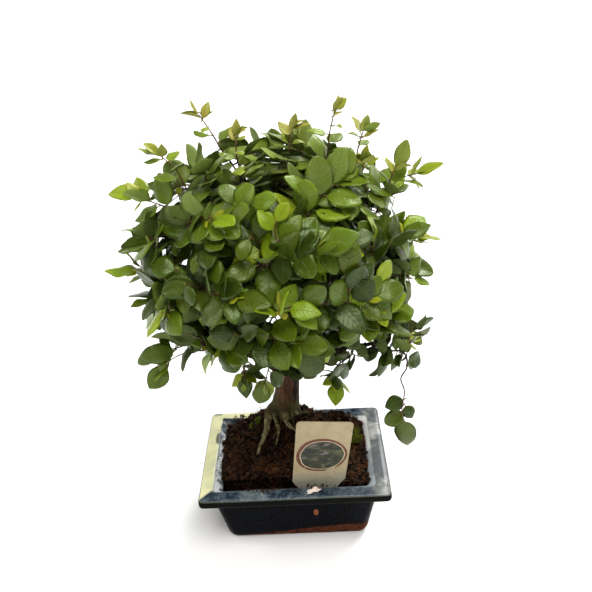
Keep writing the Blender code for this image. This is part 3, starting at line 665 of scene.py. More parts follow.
def pushed(piece, height):
    """Moves each point along its normal by height(point, normal), and returns the heights."""
    mesh = piece.data
    heights = [height(vertex.co, vertex.normal) for vertex in mesh.vertices]
    moved = np.array([v.co + lift * v.normal for v, lift in zip(mesh.vertices, heights)])
    mesh.vertices.foreach_set("co", moved.ravel())
    mesh.update()
    return np.array(heights)


def square_to(tangent, near):
    """A direction square to tangent, as near as it can be to another."""
    side = near - near.dot(tangent) * tangent
    return side.normalized() if side.length > 1e-4 else tangent.orthogonal().normalized()


def lofted(rings, around, flipped=False):
    """The faces between rings of points, one ring after another, closed at both ends."""
    ends = [tuple(reversed(range(around))), tuple(range((rings - 1) * around, rings * around))]
    sides = []
    for ring in range(rings - 1):
        for spoke in range(around):
            low, after = ring * around + spoke, ring * around + (spoke + 1) % around
            first, second = (after, low) if flipped else (low, after)
            sides.append((first, second, second + around, first + around))
    if flipped:
        ends = [tuple(reversed(end)) for end in ends]
    return [ends[0], *sides, ends[1]]


def tube(route, radii, sides):
    """Points and faces of a round bar with closed ends."""
    points = []
    side = None
    for index, point in enumerate(route):
        ahead = route[min(index + 1, len(route) - 1)]
        tangent = (ahead - route[max(index - 1, 0)]).normalized()
        side = square_to(tangent, side if side is not None else tangent.orthogonal())
        other = tangent.cross(side)
        for spoke in range(sides):
            turn = 2 * math.pi * spoke / sides
            points.append(point + radii[index] * (math.cos(turn) * side + math.sin(turn) * other))
    return points, lofted(len(route), sides)


def smooth_route(knots, spacing):
    """Closely spaced points on a smooth curve through the knots."""
    ways = [(end - start).normalized() for start, end in zip(knots, knots[1:])]
    leans = [ways[0], *((way + after).normalized() for way, after in zip(ways, ways[1:])), ways[-1]]
    route = []
    for start, end, leaving, arriving in zip(knots, knots[1:], leans, leans[1:]):
        length = (end - start).length
        steps = max(int(length / spacing), 1)
        for step in range(steps):
            t = step / steps
            route.append(
                (2 * t**3 - 3 * t**2 + 1) * start + (t**3 - 2 * t**2 + t) * length * leaving
                + (3 * t**2 - 2 * t**3) * end + (t**3 - t**2) * length * arriving
            )
    return route + [knots[-1]]


class Gathered:
    """Many small closed shapes that end up in one mesh."""

    def __init__(self):
        self.points = []
        self.faces = []
        self.kinds = []

    def add(self, points, faces, kind):
        start = len(self.points)
        self.points.extend(points)
        self.faces.extend(tuple(start + corner for corner in face) for face in faces)
        self.kinds.extend(kind(point) if callable(kind) else kind for point in points)

    def piece(self, name, label, smooth=True):
        return make_mesh(name, self.points, self.faces, smooth, {label: self.kinds})


def rounded_outline(half_x, half_y, radius, corner_steps, side_steps):
    """Points round a rectangle with arcs at its corners, its sides divided."""
    corners = []
    for quarter in range(4):
        middle_x = (half_x - radius) * (1 if quarter in (0, 3) else -1)
        middle_y = (half_y - radius) * (1 if quarter in (0, 1) else -1)
        for step in range(corner_steps + 1):
            angle = (quarter + step / corner_steps) * math.pi / 2
            corners.append((middle_x + radius * math.cos(angle), middle_y + radius * math.sin(angle)))
    ring = []
    for index, (x, y) in enumerate(corners):
        ring.append((x, y))
        if index % (corner_steps + 1) == corner_steps:
            next_x, next_y = corners[(index + 1) % len(corners)]
            for step in range(1, side_steps):
                share = step / side_steps
                ring.append((x + (next_x - x) * share, y + (next_y - y) * share))
    return ring


# ---------------------------------------------------------------- pot

def pot_profile():
    """The pot's rings with softened rings between them, in mm."""
    rings = [Vector(ring) for ring in POT_RINGS]
    soft = [rings[0]]
    for start, end in zip(rings, rings[1:]):
        length = math.hypot(end.x - start.x, end.y - start.y)
        steps = max(1, min(8, round(length / 5)))
        edge = min(0.35, 0.3 * length) / length
        shares = [edge] + [step / steps for step in range(1, steps)] + [1 - edge]
        soft.extend(start.lerp(end, share) for share in shares)
    soft.append(rings[-1])
    return soft


def build_pot(tints, sizes):
    """The pot, lofted through its rings, with its drain holes bored and its walls a little uneven."""
    points = []
    profile = pot_profile()
    for inset, height, radius in profile:
        for x, y in rounded_outline(POT_HALF_X - inset, POT_HALF_Y - inset, radius, 8, 16):
            points.append(Vector((x, y, height)) * MM)
    pot = make_mesh("glazed_pot", points, lofted(len(profile), len(points) // len(profile)))
    cutters = []
    for side in (-1, 1):
        centre = Vector((side * DRAIN_X * MM, 0, 0))
        ends = [centre - UP * 6 * MM, centre + UP * 12 * MM]
        cutter = make_mesh("drain_cutter", *tube(ends, [DRAIN_RADIUS * MM] * 2, 32))
        cut = pot.modifiers.new("drain", "BOOLEAN")
        cut.operation = "DIFFERENCE"
        cut.object = cutter
        cutters.append(cutter)
    pot = evaluated(pot)
    for cutter in cutters:
        bpy.data.objects.remove(cutter)
    uneven = sizes.pot_unevenness

    def hand_made(point, normal):
        """The lip is twice as uneven as the walls, and the foot is flat."""
        lip = min(max((point.z - 0.05) / 0.004, 0), 1)
        swell = noise.noise(point * 45) + 0.5 * noise.noise(point * 110)
        return uneven * swell * (0.5 + 0.5 * lip) if point.z > 0.001 else 0.0

    pushed(pot, hand_made)
    pot.data.set_sharp_from_angle(angle=math.radians(50))
    shown(pot, glaze_finish(tints), "pot_glaze", ["pot"])


def finish_screens():
    """The drain screens keep their CAD shape and get a moulded finish."""
    finish = screen_finish()
    for node in ("drain_screen_left", "drain_screen_right"):
        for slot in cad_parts[node].material_slots:
            slot.material = finish


# ---------------------------------------------------------------- soil

SOIL_PIECES = {"fibrous_root_ball": "root_ball", "loose_potting_mix": "potting_mix"}
SOIL_LEVEL = 0.045  # what lies on the soil lies above this height
ABOVE_SOIL = 0.2
CRUMB_CORNERS = 12
STRAND_FACES = 60  # about as many as a strand's tube has


def face_tree(*pieces):
    """A search tree over the faces of these objects."""
    points = []
    faces = []
    for piece in pieces:
        start = len(points)
        points.extend(vertex.co.copy() for vertex in piece.data.vertices)
        faces.extend(tuple(start + corner for corner in face.vertices) for face in piece.data.polygons)
    return BVHTree.FromPolygons(points, faces)


def dropped(tree, x, y):
    """The highest point of the tree's faces at this place, with its normal, or None."""
    point, normal, _, _ = tree.ray_cast(Vector((x, y, ABOVE_SOIL)), -UP)
    return (point, normal) if point is not None else None


def soil_spots(ground, rng, half_x, low_y, high_y):
    """Random points on the soil within these bounds, each with its normal, without end."""
    while True:
        spot = dropped(ground, rng.uniform(-half_x, half_x), rng.uniform(low_y, high_y))
        if spot is not None and spot[0].z >= SOIL_LEVEL:
            yield spot


def build_soil(tints, sizes):
    """The root ball and the potting mix, their crumbs, and the strands that stick out of them."""
    ground = face_tree(*build_heaps(tints, sizes))
    rng = random.Random(5)
    crumbs = Gathered()
    spots = soil_spots(ground, rng, 0.06, -0.038, 0.038)
    while len(crumbs.points) < CRUMB_CORNERS * sizes.crumbs:
        point, normal = next(spots)
        size = (0.3 + 2.3 * rng.random() ** 4) * MM
        add_crumb(crumbs, point + normal * size * 0.3, size, rng)
    for x, y, z, size in spilled_places(rng):
        add_crumb(crumbs, Vector((x, y, z)), size, rng)
    piece = crumbs.piece("soil_crumbs", "strand_kind", smooth=False)
    shown(piece, strand_finish("crumb_skin", "3e2714", "0c0603"), "potting_mix")

    strands = Gathered()
    spots = soil_spots(ground, rng, 0.058, -0.034, 0.036)
    while len(strands.faces) < STRAND_FACES * sizes.strands:
        add_strand(strands, *next(spots), rng)
    piece = strands.piece("root_strands", "strand_kind")
    shown(piece, strand_finish("strand_skin", "77522e", "170c06"), "root_ball_soil")


def build_heaps(tints, sizes):
    """The root ball and the potting mix, crumbly on top and on the root ball's front."""
    rough = sizes.soil_roughness

    def crumbly(point, normal):
        """Clods and knots on the top and on the front of the heap, and a little off everywhere."""
        coarse = noise.fractal(point * 90, 0.8, 2.2, 4)
        clods = 0.45 - abs(noise.noise(point * 260)) * 1.6
        knots = noise.noise(point * 420) + 0.6 * noise.noise(point * 800)
        share = min(max((normal.z + 0.35) * 1.4, 0.0), 1.0)
        front = 1.0 if point.y < -0.022 and point.z > 0.02 else 0.0
        amount = max(share if point.z > 0.048 else 0.0, front * 0.8)
        return rough * (0.4 * coarse + 0.5 * clods + 0.35 * knots) * amount - 0.25 * MM

    made = []
    for name, node in SOIL_PIECES.items():
        heap = remeshed(name, node, sizes.soil_grain, 4)
        # how far each point was lifted, kept for the soil's painted shade between lumps
        lift = pushed(heap, crumbly) / rough + 0.5
        layer = heap.data.attributes.new("soil_lift", "FLOAT_VECTOR", "POINT")
        layer.data.foreach_set("vector", np.repeat(np.clip(lift, 0, 1), 3).astype(np.float32))
        warmth, slot = (0.5, "root_ball_soil") if node == "root_ball" else (0.35, "potting_mix")
        shown(heap, soil_finish(node + "_skin", tints, warmth), slot, [node])
        made.append(heap)
    return made


def spilled_places(rng):
    """Where crumbs lie on the pot's rim, at its front and its back left, and at the label's foot."""
    for _ in range(90):
        yield rng.gauss(-0.02, 0.013), rng.uniform(-0.0425, -0.0405), 0.0588, rng.uniform(0.5, 1.3) * MM
    for _ in range(46):
        yield rng.gauss(-0.024, 0.01), rng.gauss(-0.044, 0.0012), 0.0603, rng.uniform(0.3, 1.0) * MM
    for _ in range(80):
        yield rng.gauss(-0.04, 0.012), rng.uniform(0.04, 0.049), 0.0603, rng.uniform(0.3, 1.2) * MM
    for _ in range(26):
        yield rng.gauss(0.018, 0.011), rng.uniform(-0.0366, -0.0358), rng.uniform(0.0535, 0.0575), (
            rng.uniform(0.3, 1.1) * MM
        )


def add_crumb(gathered, centre, size, rng):
    """A rough lump: a ball of twelve corners, pushed about."""
    golden = (1 + math.sqrt(5)) / 2
    corners = []
    for a, b in ((1, golden), (-1, golden), (1, -golden), (-1, -golden)):
        corners.extend((Vector((0, a, b)), Vector((a, b, 0)), Vector((b, 0, a))))
    flat = rng.uniform(0.5, 0.9)
    points = []
    for corner in corners:
        reach = size * rng.uniform(0.65, 1.1) / 1.9
        points.append(centre + Vector((corner.x, corner.y, corner.z * flat)) * reach)
    hull = bmesh.new()
    for point in points:
        hull.verts.new(point)
    made = bmesh.ops.convex_hull(hull, input=hull.verts)
    loose = [thing for thing in made["geom_interior"] if isinstance(thing, bmesh.types.BMVert)]
    bmesh.ops.delete(hull, geom=loose, context="VERTS")
    hull.verts.index_update()
    faces = [tuple(corner.index for corner in face.verts) for face in hull.faces]
    shade = rng.random() ** 2
    gathered.add([corner.co.copy() for corner in hull.verts], faces, (shade, 0, 0))
    hull.free()


def add_strand(gathered, foot, normal, rng):
    """A thin dead root that leaves the soil, bends and goes back in."""
    turn = rng.uniform(0, 2 * math.pi)
    reach = rng.uniform(3, 9) * MM
    way = Vector((math.cos(turn), math.sin(turn), 0))
    sideways = Vector((-way.y, way.x, 0)) * rng.uniform(-0.35, 0.35) * reach
    rise = rng.uniform(0.2, 1.3) * MM
    slope = -(normal.x * way.x + normal.y * way.y) / max(normal.z, 0.4)
    drop = UP * slope * reach
    knots = [
        foot - UP * 0.8 * MM, foot + way * reach * 0.3 + UP * rise + drop * 0.3,
        foot + way * reach * 0.7 + sideways + UP * rise + drop * 0.7,
        foot + way * reach + sideways - UP * 0.8 * MM + drop,
    ]
    route = smooth_route(knots, 0.9 * MM)
    thick = rng.uniform(0.09, 0.24) * MM
    points, faces = tube(route, [thick * (1 - 0.5 * k / len(route)) for k in range(len(route))], 4)
    gathered.add(points, faces, (rng.random() ** 1.5, 0, 0))


def build_moss(tints, sizes):
    """Moss pads made of short pointed shoots."""
    rng = random.Random(8)
    finish = moss_finish(tints)
    for node in ("moss_left", "moss_right"):
        pad = face_tree(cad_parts[node])
        low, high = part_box(node)
        tufts = Gathered()
        cushion = remeshed("cushion", node, 0.7 * MM, 3)
        for vertex in cushion.data.vertices:
            vertex.co -= vertex.normal * 0.5 * MM
        points = [vertex.co.copy() for vertex in cushion.data.vertices]
        faces = [tuple(face.vertices) for face in cushion.data.polygons]
        tufts.add(points, faces, (0.1, 0.0, 1.0))
        bpy.data.objects.remove(cushion)
        for _ in range(sizes.moss_shoots):
            spot = dropped(pad, rng.uniform(low.x, high.x), rng.uniform(low.y, high.y))
            if spot is None or noise.noise(spot[0] * 260) < 0.02:
                continue
            foot, normal = spot
            sway = Vector((rng.uniform(-1, 1), rng.uniform(-1, 1), rng.uniform(0, 1)))
            lean = (normal + 0.5 * sway).normalized()
            length = rng.uniform(0.7, 1.9) * MM
            bend = lean.orthogonal() * length * rng.uniform(-0.3, 0.3)
            route = [foot - lean * 0.8 * MM, foot + lean * length * 0.5, foot + lean * length + bend]
            points, faces = tube(route, [0.32 * MM, 0.26 * MM, 0.05 * MM], 3)
            shade = rng.random()
            tufts.add(points, faces, lambda p, f=foot, s=shade: (s, (p - f).length / (2.3 * MM), 0))
        piece = tufts.piece("tufted_" + node, "strand_kind")
        shown(piece, finish, "moss", [node])


# ---------------------------------------------------------------- trunk

TRUNK_FOOT = Vector((-6, 24, 0)) * MM
TRUNK_RADIUS = 11.5 * MM
ROOT_STEPS = 6


def fine_root(ground, rng):
    """The knots of a thin root that leaves the trunk, winds down over the soil and sinks into it."""
    turn = rng.uniform(-math.pi, 0.25 * math.pi) - 0.2
    way = Vector((math.cos(turn), math.sin(turn), 0))
    reach = rng.uniform(12, 27) * MM
    start = TRUNK_FOOT + way * TRUNK_RADIUS
    start.z = rng.uniform(86, 92) * MM
    knots = [start - way * 3 * MM]
    wobble = 0.0
    for step in range(1, ROOT_STEPS + 1):
        wobble += rng.uniform(-0.22, 0.22)
        ahead = Vector((math.cos(turn + wobble), math.sin(turn + wobble), 0))
        place = start + ahead * reach * step / ROOT_STEPS
        spot = dropped(ground, place.x, place.y)
        if spot is None:
            break
        height = max(spot[0].z + (0.3 - 0.16 * step) * MM, start.z - 40 * MM)
        knots.append(Vector((place.x, place.y, min(height, knots[-1].z - 0.3 * MM))))
    return knots


def build_trunk(tints, sizes):
    """The trunk, roots and limbs with bark, and thin roots that run into the soil."""
    heaps = [bpy.data.objects.get(name) for name in SOIL_PIECES]
    if None in heaps:
        raise RuntimeError("The trunk's thin roots need the soil: make the soil first")
    ground = face_tree(*heaps)
    trunk = remeshed("barked_trunk", "trunk", sizes.bark_grain, 6)
    deep = sizes.bark_depth

    def fissured(point, normal):
        """Long ridges and lumps, deepest at the trunk's foot."""
        base = min(max((0.150 - point.z) / 0.06, 0.0), 1.0)
        stretched = Vector((point.x, point.y, point.z * 0.28)) if point.z < 0.125 else point * 0.7
        ridges = noise.fractal(stretched * 330, 0.9, 2.1, 3)
        lumps = noise.noise(point * 85) + 0.4 * noise.noise(point * 210)
        return deep * ((0.25 + 0.75 * base) * ridges + 0.9 * base * lumps)

    pushed(trunk, fissured)
    shown(trunk, bark_finish(tints), "bark", ["trunk"])

    rng = random.Random(21)
    roots = Gathered()
    for _ in range(sizes.fine_roots):
        knots = fine_root(ground, rng)
        if len(knots) < 4:
            continue
        route = smooth_route(knots, 1.2 * MM)
        thick = rng.uniform(0.3, 0.65) * MM
        radii = [thick * (1 - 0.65 * k / len(route)) for k in range(len(route))]
        roots.add(*tube(route, radii, 6), (rng.random(), 0, 0))
    piece = roots.piece("fine_roots", "strand_kind")
    shown(piece, strand_finish("root_skin", "857650", "33291a"), "bark")


# ---------------------------------------------------------------- label

def card_outline(shrink):
    """The card's outline from its stake's point up its right side and down its left, moved in by shrink."""
    foot = LABEL_FOOT_HALF - shrink
    shoulder = LABEL_SHOULDER_HALF - shrink
    top = LABEL_TOP_HALF - shrink
    stake = STAKE_HALF - shrink
    half = [(0, shrink - STAKE_LENGTH), (stake * 0.6, 3 + shrink - STAKE_LENGTH), (stake, 6 - STAKE_LENGTH)]
    half += [(stake, shrink), (foot, shrink), (shoulder, LABEL_CHAMFER + 0.4 * shrink)]
    for step in range(9):
        turn = step * math.pi / 16
        corner = LABEL_CORNER
        x = top - corner * (1 - math.cos(turn))
        half.append((x, LABEL_HEIGHT - shrink - corner * (1 - math.sin(turn))))
    return half + [(-x, z) for x, z in reversed(half[1:])]


def build_label(tints):
    """The plant label: a flat card with softened edges that leans to the right."""
    edge = LABEL_EDGE
    layers = ((edge, 0.0), (0.0, edge), (0.0, LABEL_THICK - edge), (edge, LABEL_THICK))
    points = []
    marks = []
    for shrink, depth in layers:
        for x, z in card_outline(shrink):
            share = max(z, 0) / LABEL_HEIGHT
            slope = LABEL_SLOPES[0] + (LABEL_SLOPES[1] - LABEL_SLOPES[0]) * share
            leaned = LABEL_FOOT_X + x + LABEL_LEAN * max(z, 0)
            y = LABEL_Y + depth + STAKE_SLOPE * max(-z, 0)
            points.append(Vector((leaned, y, LABEL_FOOT_Z + z - slope * x)) * MM)
            marks.append((x, z, 1.0 if depth < 0.3 else 0.0))
    faces = lofted(len(layers), len(points) // len(layers), flipped=True)
    card = make_mesh("printed_label", points, faces, False, {"card_place": marks})
    shown(card, label_finish(tints), "label_plastic", ["plant_label"])


PETAL_PLACE = (15.0, -46.2, 61.2)
PETAL_HALF_X = 5.2
PETAL_HALF_Y = 2.6
PETAL_THICK = 0.3


def build_petal():
    """A dried, curled petal on the rim in front of the label: two sheets joined at their rim."""
    points = []
    faces = []
    columns, rows = 12, 8
    for side in (0, 1):
        for row in range(rows + 1):
            for column in range(columns + 1):
                u, v = column / columns * 2 - 1, row / rows * 2 - 1
                reach = max(1e-6, max(abs(u), abs(v)) / math.hypot(u, v)) if (u or v) else 1
                turn = math.atan2(v, u)
                ragged = 1 + 0.16 * math.sin(5 * turn + 1.0) + 0.08 * math.sin(9 * turn)
                x = u * reach * ragged * PETAL_HALF_X
                y = v * reach * ragged * PETAL_HALF_Y + 0.15 * x
                curl = 1.4 * math.sin(u * 2.6 + 0.6) + 0.8 * v * v + 0.4 * math.sin(v * 5 + u * 3)
                point = Vector(PETAL_PLACE) + Vector((x, y, curl * 0.55 - side * PETAL_THICK))
                points.append(point * MM)
    plane = (columns + 1) * (rows + 1)

    def at(column, row, side):
        return side * plane + row * (columns + 1) + column

    for row in range(rows):
        for column in range(columns):
            corners = ((column, row), (column + 1, row), (column + 1, row + 1), (column, row + 1))
            faces.append(tuple(at(*corner, 0) for corner in corners))
            faces.append(tuple(at(*corner, 1) for corner in reversed(corners)))
    rim = [(column, 0) for column in range(columns)] + [(columns, row) for row in range(rows)]
    rim += [(columns - column, rows - row) for column, row in rim]
    for start, end in zip(rim, rim[1:] + rim[:1]):
        faces.append((at(*end, 0), at(*start, 0), at(*start, 1), at(*end, 1)))
    shown(make_mesh("dried_petal", points, faces), petal_finish())


# ---------------------------------------------------------------- foliage

class ShootPlan:
    """A CAD shoot read back from its mesh: its twig's middle line and its leaves."""

    def __init__(self, node):
        self.name = node
        self.in_crown = node.startswith("crown")
        mesh = bmesh.new()
        mesh.from_mesh(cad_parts[node].data)
        bmesh.ops.remove_doubles(mesh, verts=mesh.verts, dist=0.002 * MM)
        mesh.verts.ensure_lookup_table()
        self.leaves = []
        blades = set()
        for tip in mesh.verts:
            ring = [edge.other_vert(tip) for edge in tip.link_edges]
            ring.sort(key=lambda vertex: (vertex.co - tip.co).length)
            if len(ring) != 3 or (ring[1].co - ring[2].co).length < NARROWEST:
                continue
            middle = (ring[1].co + ring[2].co) / 2
            keel = middle - ring[0].co
            if abs(keel.length - KEEL) > 0.1 * MM:
                continue
            length = (tip.co - middle).length / (1 - WIDEST)
            way = (tip.co - middle).normalized()
            base = tip.co - length * way
            self.leaves.append((base, way, keel.normalized(), length))
            blades.update((tip, *ring))
            blades.update(edge.other_vert(vertex) for vertex in ring for edge in vertex.link_edges)
        self.route, self.thick = self.read_twig(mesh, blades)
        mesh.free()

    @staticmethod
    def read_twig(mesh, blades):
        """Middles and radii of the twig's rings, from its thick end to its tip."""
        best = (0, 0.0)
        for face in mesh.faces:
            ring = set(face.verts)
            if ring & blades:
                continue
            rings = []
            seen = set(ring)
            while ring:
                rings.append(ring)
                ring = {edge.other_vert(v) for v in ring for edge in v.link_edges} - seen - blades
                seen |= ring
            middles = [sum((v.co for v in ring), Vector()) / len(ring) for ring in rings]
            radii = [max((v.co - middle).length for v in ring) for ring, middle in zip(rings, middles)]
            if (len(rings), radii[0]) > best:
                best = (len(rings), radii[0])
                found = (middles, radii)
        return found


class Crowd:
    """Spots that leaves already fill."""

    def __init__(self, most):
        self.spots = np.zeros((most, 3))
        self.count = 0

    @staticmethod
    def of(leaf):
        """Five spots that stand for a leaf."""
        base, way, normal, length = leaf
        side = normal.cross(way)
        shares = ((0.2, 0), (0.45, 0.2), (0.45, -0.2), (0.75, 0), (0.95, 0))
        return np.array([base + length * (a * way + b * side) for a, b in shares])

    def room(self, spots):
        """How far these spots are from the nearest filled one."""
        if not self.count:
            return 1.0
        apart = self.spots[None, :self.count] - spots[:, None]
        return float(np.sqrt((apart ** 2).sum(2)).min())

    def add(self, spots):
        self.spots[self.count:self.count + len(spots)] = spots
        self.count += len(spots)


def leaf_halves(length, young, teeth, rng):
    """Each leaf's half width at each section: an oval with a toothed edge, slimmer on young leaves."""
    count = len(length)
    rise = rng.uniform(0.5, 0.68, (count, 1))
    fall = 0.6 + 0.32 * rng.random((count, 1)) + 0.3 * young
    widest = rise / (rise + fall)
    profile = LEAF_SHARES ** rise * (1 - LEAF_SHARES) ** fall / (widest ** rise * (1 - widest) ** fall)
    slim = SLIMMING * np.maximum(length - BROAD_UP_TO, 0)
    half_width = (rng.uniform(0.365, 0.44, (count, 1)) - 0.12 * young - slim) * length
    out_or_in = np.where(np.arange(LEAF_SECTIONS + 1) % 2 == 1, 1.0, -1.0)
    half = half_width * profile * (1 + teeth * (out_or_in * np.sin(np.pi * LEAF_SHARES) ** 0.4))
    return np.maximum(half, np.linspace(0.42, 0.12, LEAF_SECTIONS + 1) * MM)


def leaf_bends(length, rng):
    """Each leaf's slope at each section, and how far it has run along and risen by there."""
    curl = rng.uniform(-0.1, 0.85, (len(length), 1))
    start = rng.uniform(-0.05, 0.25, (len(length), 1))
    bend = start - curl * LEAF_SHARES ** 1.4
    slope = (bend[:, 1:] + bend[:, :-1]) / 2
    step = length / LEAF_SECTIONS
    foot = np.zeros((len(length), 1))
    run = np.concatenate([foot, np.cumsum(np.cos(slope) * step, 1)], 1)
    rise = np.concatenate([foot, np.cumsum(np.sin(slope) * step, 1)], 1)
    return bend, run, rise


def leaf_heights(half, across, below, thickness, rng):
    """How far each point stands above its section's middle: fold, cup, ripples and thickness."""
    ranges = ((-0.12, 0.32), (-0.1, 0.35), (0.02, 0.1), (0, 1))
    fold, cup, wave, phase = (rng.uniform(low, high, (len(half), 1, 1)) for low, high in ranges)
    reach = np.abs(across)
    share = LEAF_SHARES[:, None]
    ripple = np.sin(2 * np.pi * (1.6 * share + phase + np.where(across > 0, 0.35, 0.0)))
    height = half * (fold * reach - cup * reach ** 2 + wave * ripple * reach ** 2)
    midrib = 0.35 * MM * np.maximum(1 - reach * 3.5, 0) * (1 - share) ** 0.7
    body = thickness * (0.25 + 0.75 * (1 - reach ** 2)) + midrib
    return height - body * below


def shape_leaves(leaves, rng, thickness, teeth):
    """Points, places and kinds of many leaves: each is its base, way, normal, length, tone and youth."""
    base, way, normal = (np.array([leaf[k] for leaf in leaves])[:, None, None] for k in range(3))
    length, tone, young = (np.array([leaf[k] for leaf in leaves])[:, None] for k in (3, 4, 5))
    side = np.cross(normal, way)
    upper = np.linspace(-1, 1, LEAF_COLUMNS + 1)
    across = np.concatenate([upper, upper[-2:0:-1]])
    below = np.concatenate([np.zeros(LEAF_COLUMNS + 1), np.ones(LEAF_COLUMNS - 1)])

    half = leaf_halves(length, young, teeth, rng)[..., None]
    bend, run, rise = (values[..., None] for values in leaf_bends(length, rng))
    height = leaf_heights(half, across, below, thickness, rng)
    out = (run - np.sin(bend) * height)[..., None]
    up = (rise + np.cos(bend) * height)[..., None]
    blade = base + out * way + up * normal + (half * across)[..., None] * side

    turn = np.pi * np.arange(LEAF_AROUND) / LEAF_COLUMNS
    shares = np.linspace(-1, 0, STALK_SECTIONS + 1)[:-1]
    stalk = base + (shares[:, None, None] * STALK * 1.25) * way
    stalk = stalk + (-np.cos(turn) * 0.42 * MM)[:, None] * side + (np.sin(turn) * 0.38 * MM)[:, None] * normal
    points = np.concatenate([stalk, blade], 1)

    places = np.empty(points.shape)
    places[..., 0] = np.concatenate([shares, LEAF_SHARES])[:, None]
    places[..., 1] = across
    places[..., 2] = below
    kinds = np.empty(points.shape)
    kinds[..., 0] = tone[:, None]
    kinds[..., 1] = young[:, None]
    kinds[..., 2] = rng.random((len(leaves), 1, 1))
    return [values.reshape(-1, 3) for values in (points, places, kinds)]


TIP_YOUTH = {
    "shoot_top": 0.75, "shoot_right": 0.5, "shoot_left": 0.45, "shoot_under": 0.15, "crown": 0.25,
    "shoot_trailing": 0.12, "shoot_right_drop": 0.2, "shoot_left_low": 0.2, "shoot_left_droop": 0.35,
    "shoot_front": 0.5,
}


def tip_youth(name):
    """How young a shoot's last leaf is: the longest start of its name that is listed decides."""
    starts = [start for start in TIP_YOUTH if name.startswith(start)]
    return TIP_YOUTH[max(starts, key=len)]


def crown_point(turn, height, depth):
    """A point in the crown: its turn, its height from -1 to 1, and its depth, 1 at the surface."""
    bulge = 2 if height > 0 else CROWN_SQUARENESS
    level = (1 - abs(height) ** bulge) ** (1 / bulge)
    tall = CROWN_UP if height > 0 else CROWN_DOWN
    out = Vector((CROWN_X * level * math.cos(turn), CROWN_Y * level * math.sin(turn), tall * height))
    return CROWN_CENTRE + depth * out


def any_way(rng):
    """A random direction."""
    return Vector((rng.gauss(0, 1), rng.gauss(0, 1), rng.gauss(0, 1))).normalized()


def upper_side(base, way, rng):
    """The way a leaf's upper side faces: up and out of the crown."""
    out = (base - CROWN_CENTRE).normalized()
    return square_to(way, 0.5 * UP + 0.8 * out + 0.3 * any_way(rng))


def lying_way(base, stem_way, rng):
    """The way a leaf points when it lies on the crown's surface, its tip hanging a little."""
    out = (base - CROWN_CENTRE).normalized()
    along = square_to(out, stem_way + 1.1 * any_way(rng) - 0.35 * UP)
    return (along + rng.uniform(0.1, 0.55) * out).normalized()


def leafed(route, first, pitch, blade, crowd, rng, room):
    """Leaves set alternately along a stem, wherever they have room; blade is the longest's length."""
    found = []
    step = max(1, round(pitch / (route[1] - route[0]).length))
    for index in range(first, len(route), step):
        tangent = (route[min(index + 1, len(route) - 1)] - route[index - 1]).normalized()
        for _ in range(5):
            way = lying_way(route[index], tangent, rng)
            base = route[index] + way * (STALK + 0.6 * MM)
            length = blade * rng.uniform(0.72, 1.0) * (1 - 0.3 * (index / len(route)) ** 3)
            leaf = (base, way, upper_side(base, way, rng), length)
            spots = crowd.of(leaf)
            if crowd.room(spots) > room:
                crowd.add(spots)
                found.append(leaf)
                break
    return found


def detour(point, end):
    """How badly a point suits as the start of a twig to an end: far away, or further out than it."""
    outward = (point - CROWN_CENTRE).length - (end - CROWN_CENTRE).length
    return (point - end).length + 1.5 * max(0.0, outward)


def grow_sprays(anchors, crowd, rng, sizes):
    """Side twigs that reach into the crown's gaps. Each is its shoot's plan, its route and leaves."""
    sprays = []
    for depth, count, gap, room in CROWN_LAYERS:
        for index in range(count):
            height = 0.99 - 1.85 * (index + 0.5) / count
            turn = index * GOLDEN_TURN
            end = crown_point(turn, height, depth * rng.uniform(0.95, 1.03))
            if crowd.room(np.array([end])) < gap:
                continue
            plan, start = min(anchors, key=lambda anchor: detour(anchor[1], end))
            if (end - start).length < 6 * MM:
                continue
            middle = start.lerp(end, 0.5) + 0.12 * (end - start).length * any_way(rng) - 1.5 * MM * UP
            route = smooth_route([start, middle, end], TWIG_STEP)
            first = max(2, len(route) - LEAFED_STEPS)
            leaves = leafed(route, first, 5 * MM, sizes.leaf_length, crowd, rng, room)
            if leaves:
                sprays.append((plan, route, leaves))
    return sprays


# Places that side twigs reach, in mm: the low cluster at the right, and round the trunk's fork.
LOW_PLACES = (
    (74, -8, 188), (84, -8, 182), (92, -8, 172), (83, -9, 163), (76, -8, 170), (88, -14, 153),
    (79, -14, 176), (66, -12, 180), (93, -10, 184), (72, -12, 160), (-4, 4, 143), (8, 4, 139),
    (21, 4, 150), (-23, 2, 143), (-35, 0, 150), (36, 0, 140), (48, -8, 166), (58, -10, 172),
    (54, -8, 158), (66, -12, 170), (42, -6, 154),
)
# Single leaves on stems of their own: where each begins, the way it points, and its length in mm.
SINGLE_LEAVES = (
    ((-86, 0, 166), (-1.0, -0.1, -0.15), 27), ((-94, 0, 151), (-0.65, -0.1, -0.75), 24),
    ((86, -19, 124), (-0.9, -0.15, -0.3), 15), ((88, -19, 118), (0.45, -0.2, -0.9), 13),
    ((86, -19, 112), (-0.8, -0.2, -0.5), 17), ((87, -19, 103), (0.12, -0.1, -1.0), 29),
)
HIGH_ABOVE = 310 * MM  # shoots that end above here have small spreading leaves
HANGING_BELOW = 135 * MM  # where the trailing shoot's own leaves give way to single ones
DARKEST_Z = 185 * MM  # painted shade: below here most leaves are dark, and above the next height few are
LIGHTEST_Z = 282 * MM
SHARE_BRIGHT = 0.04  # the share of the other leaves that are young and bright
# Where bright young leaves stand out of the crown, in mm.
BRIGHT_PLACES = (
    (2, -55, 232), (-1, -55, 214), (-5, -50, 284), (28, -52, 261), (51, -45, 259), (42, -40, 286),
    (60, -40, 242), (-42, -50, 216), (67, -35, 270), (6, -40, 297), (-62, -40, 262), (-30, -45, 300),
)


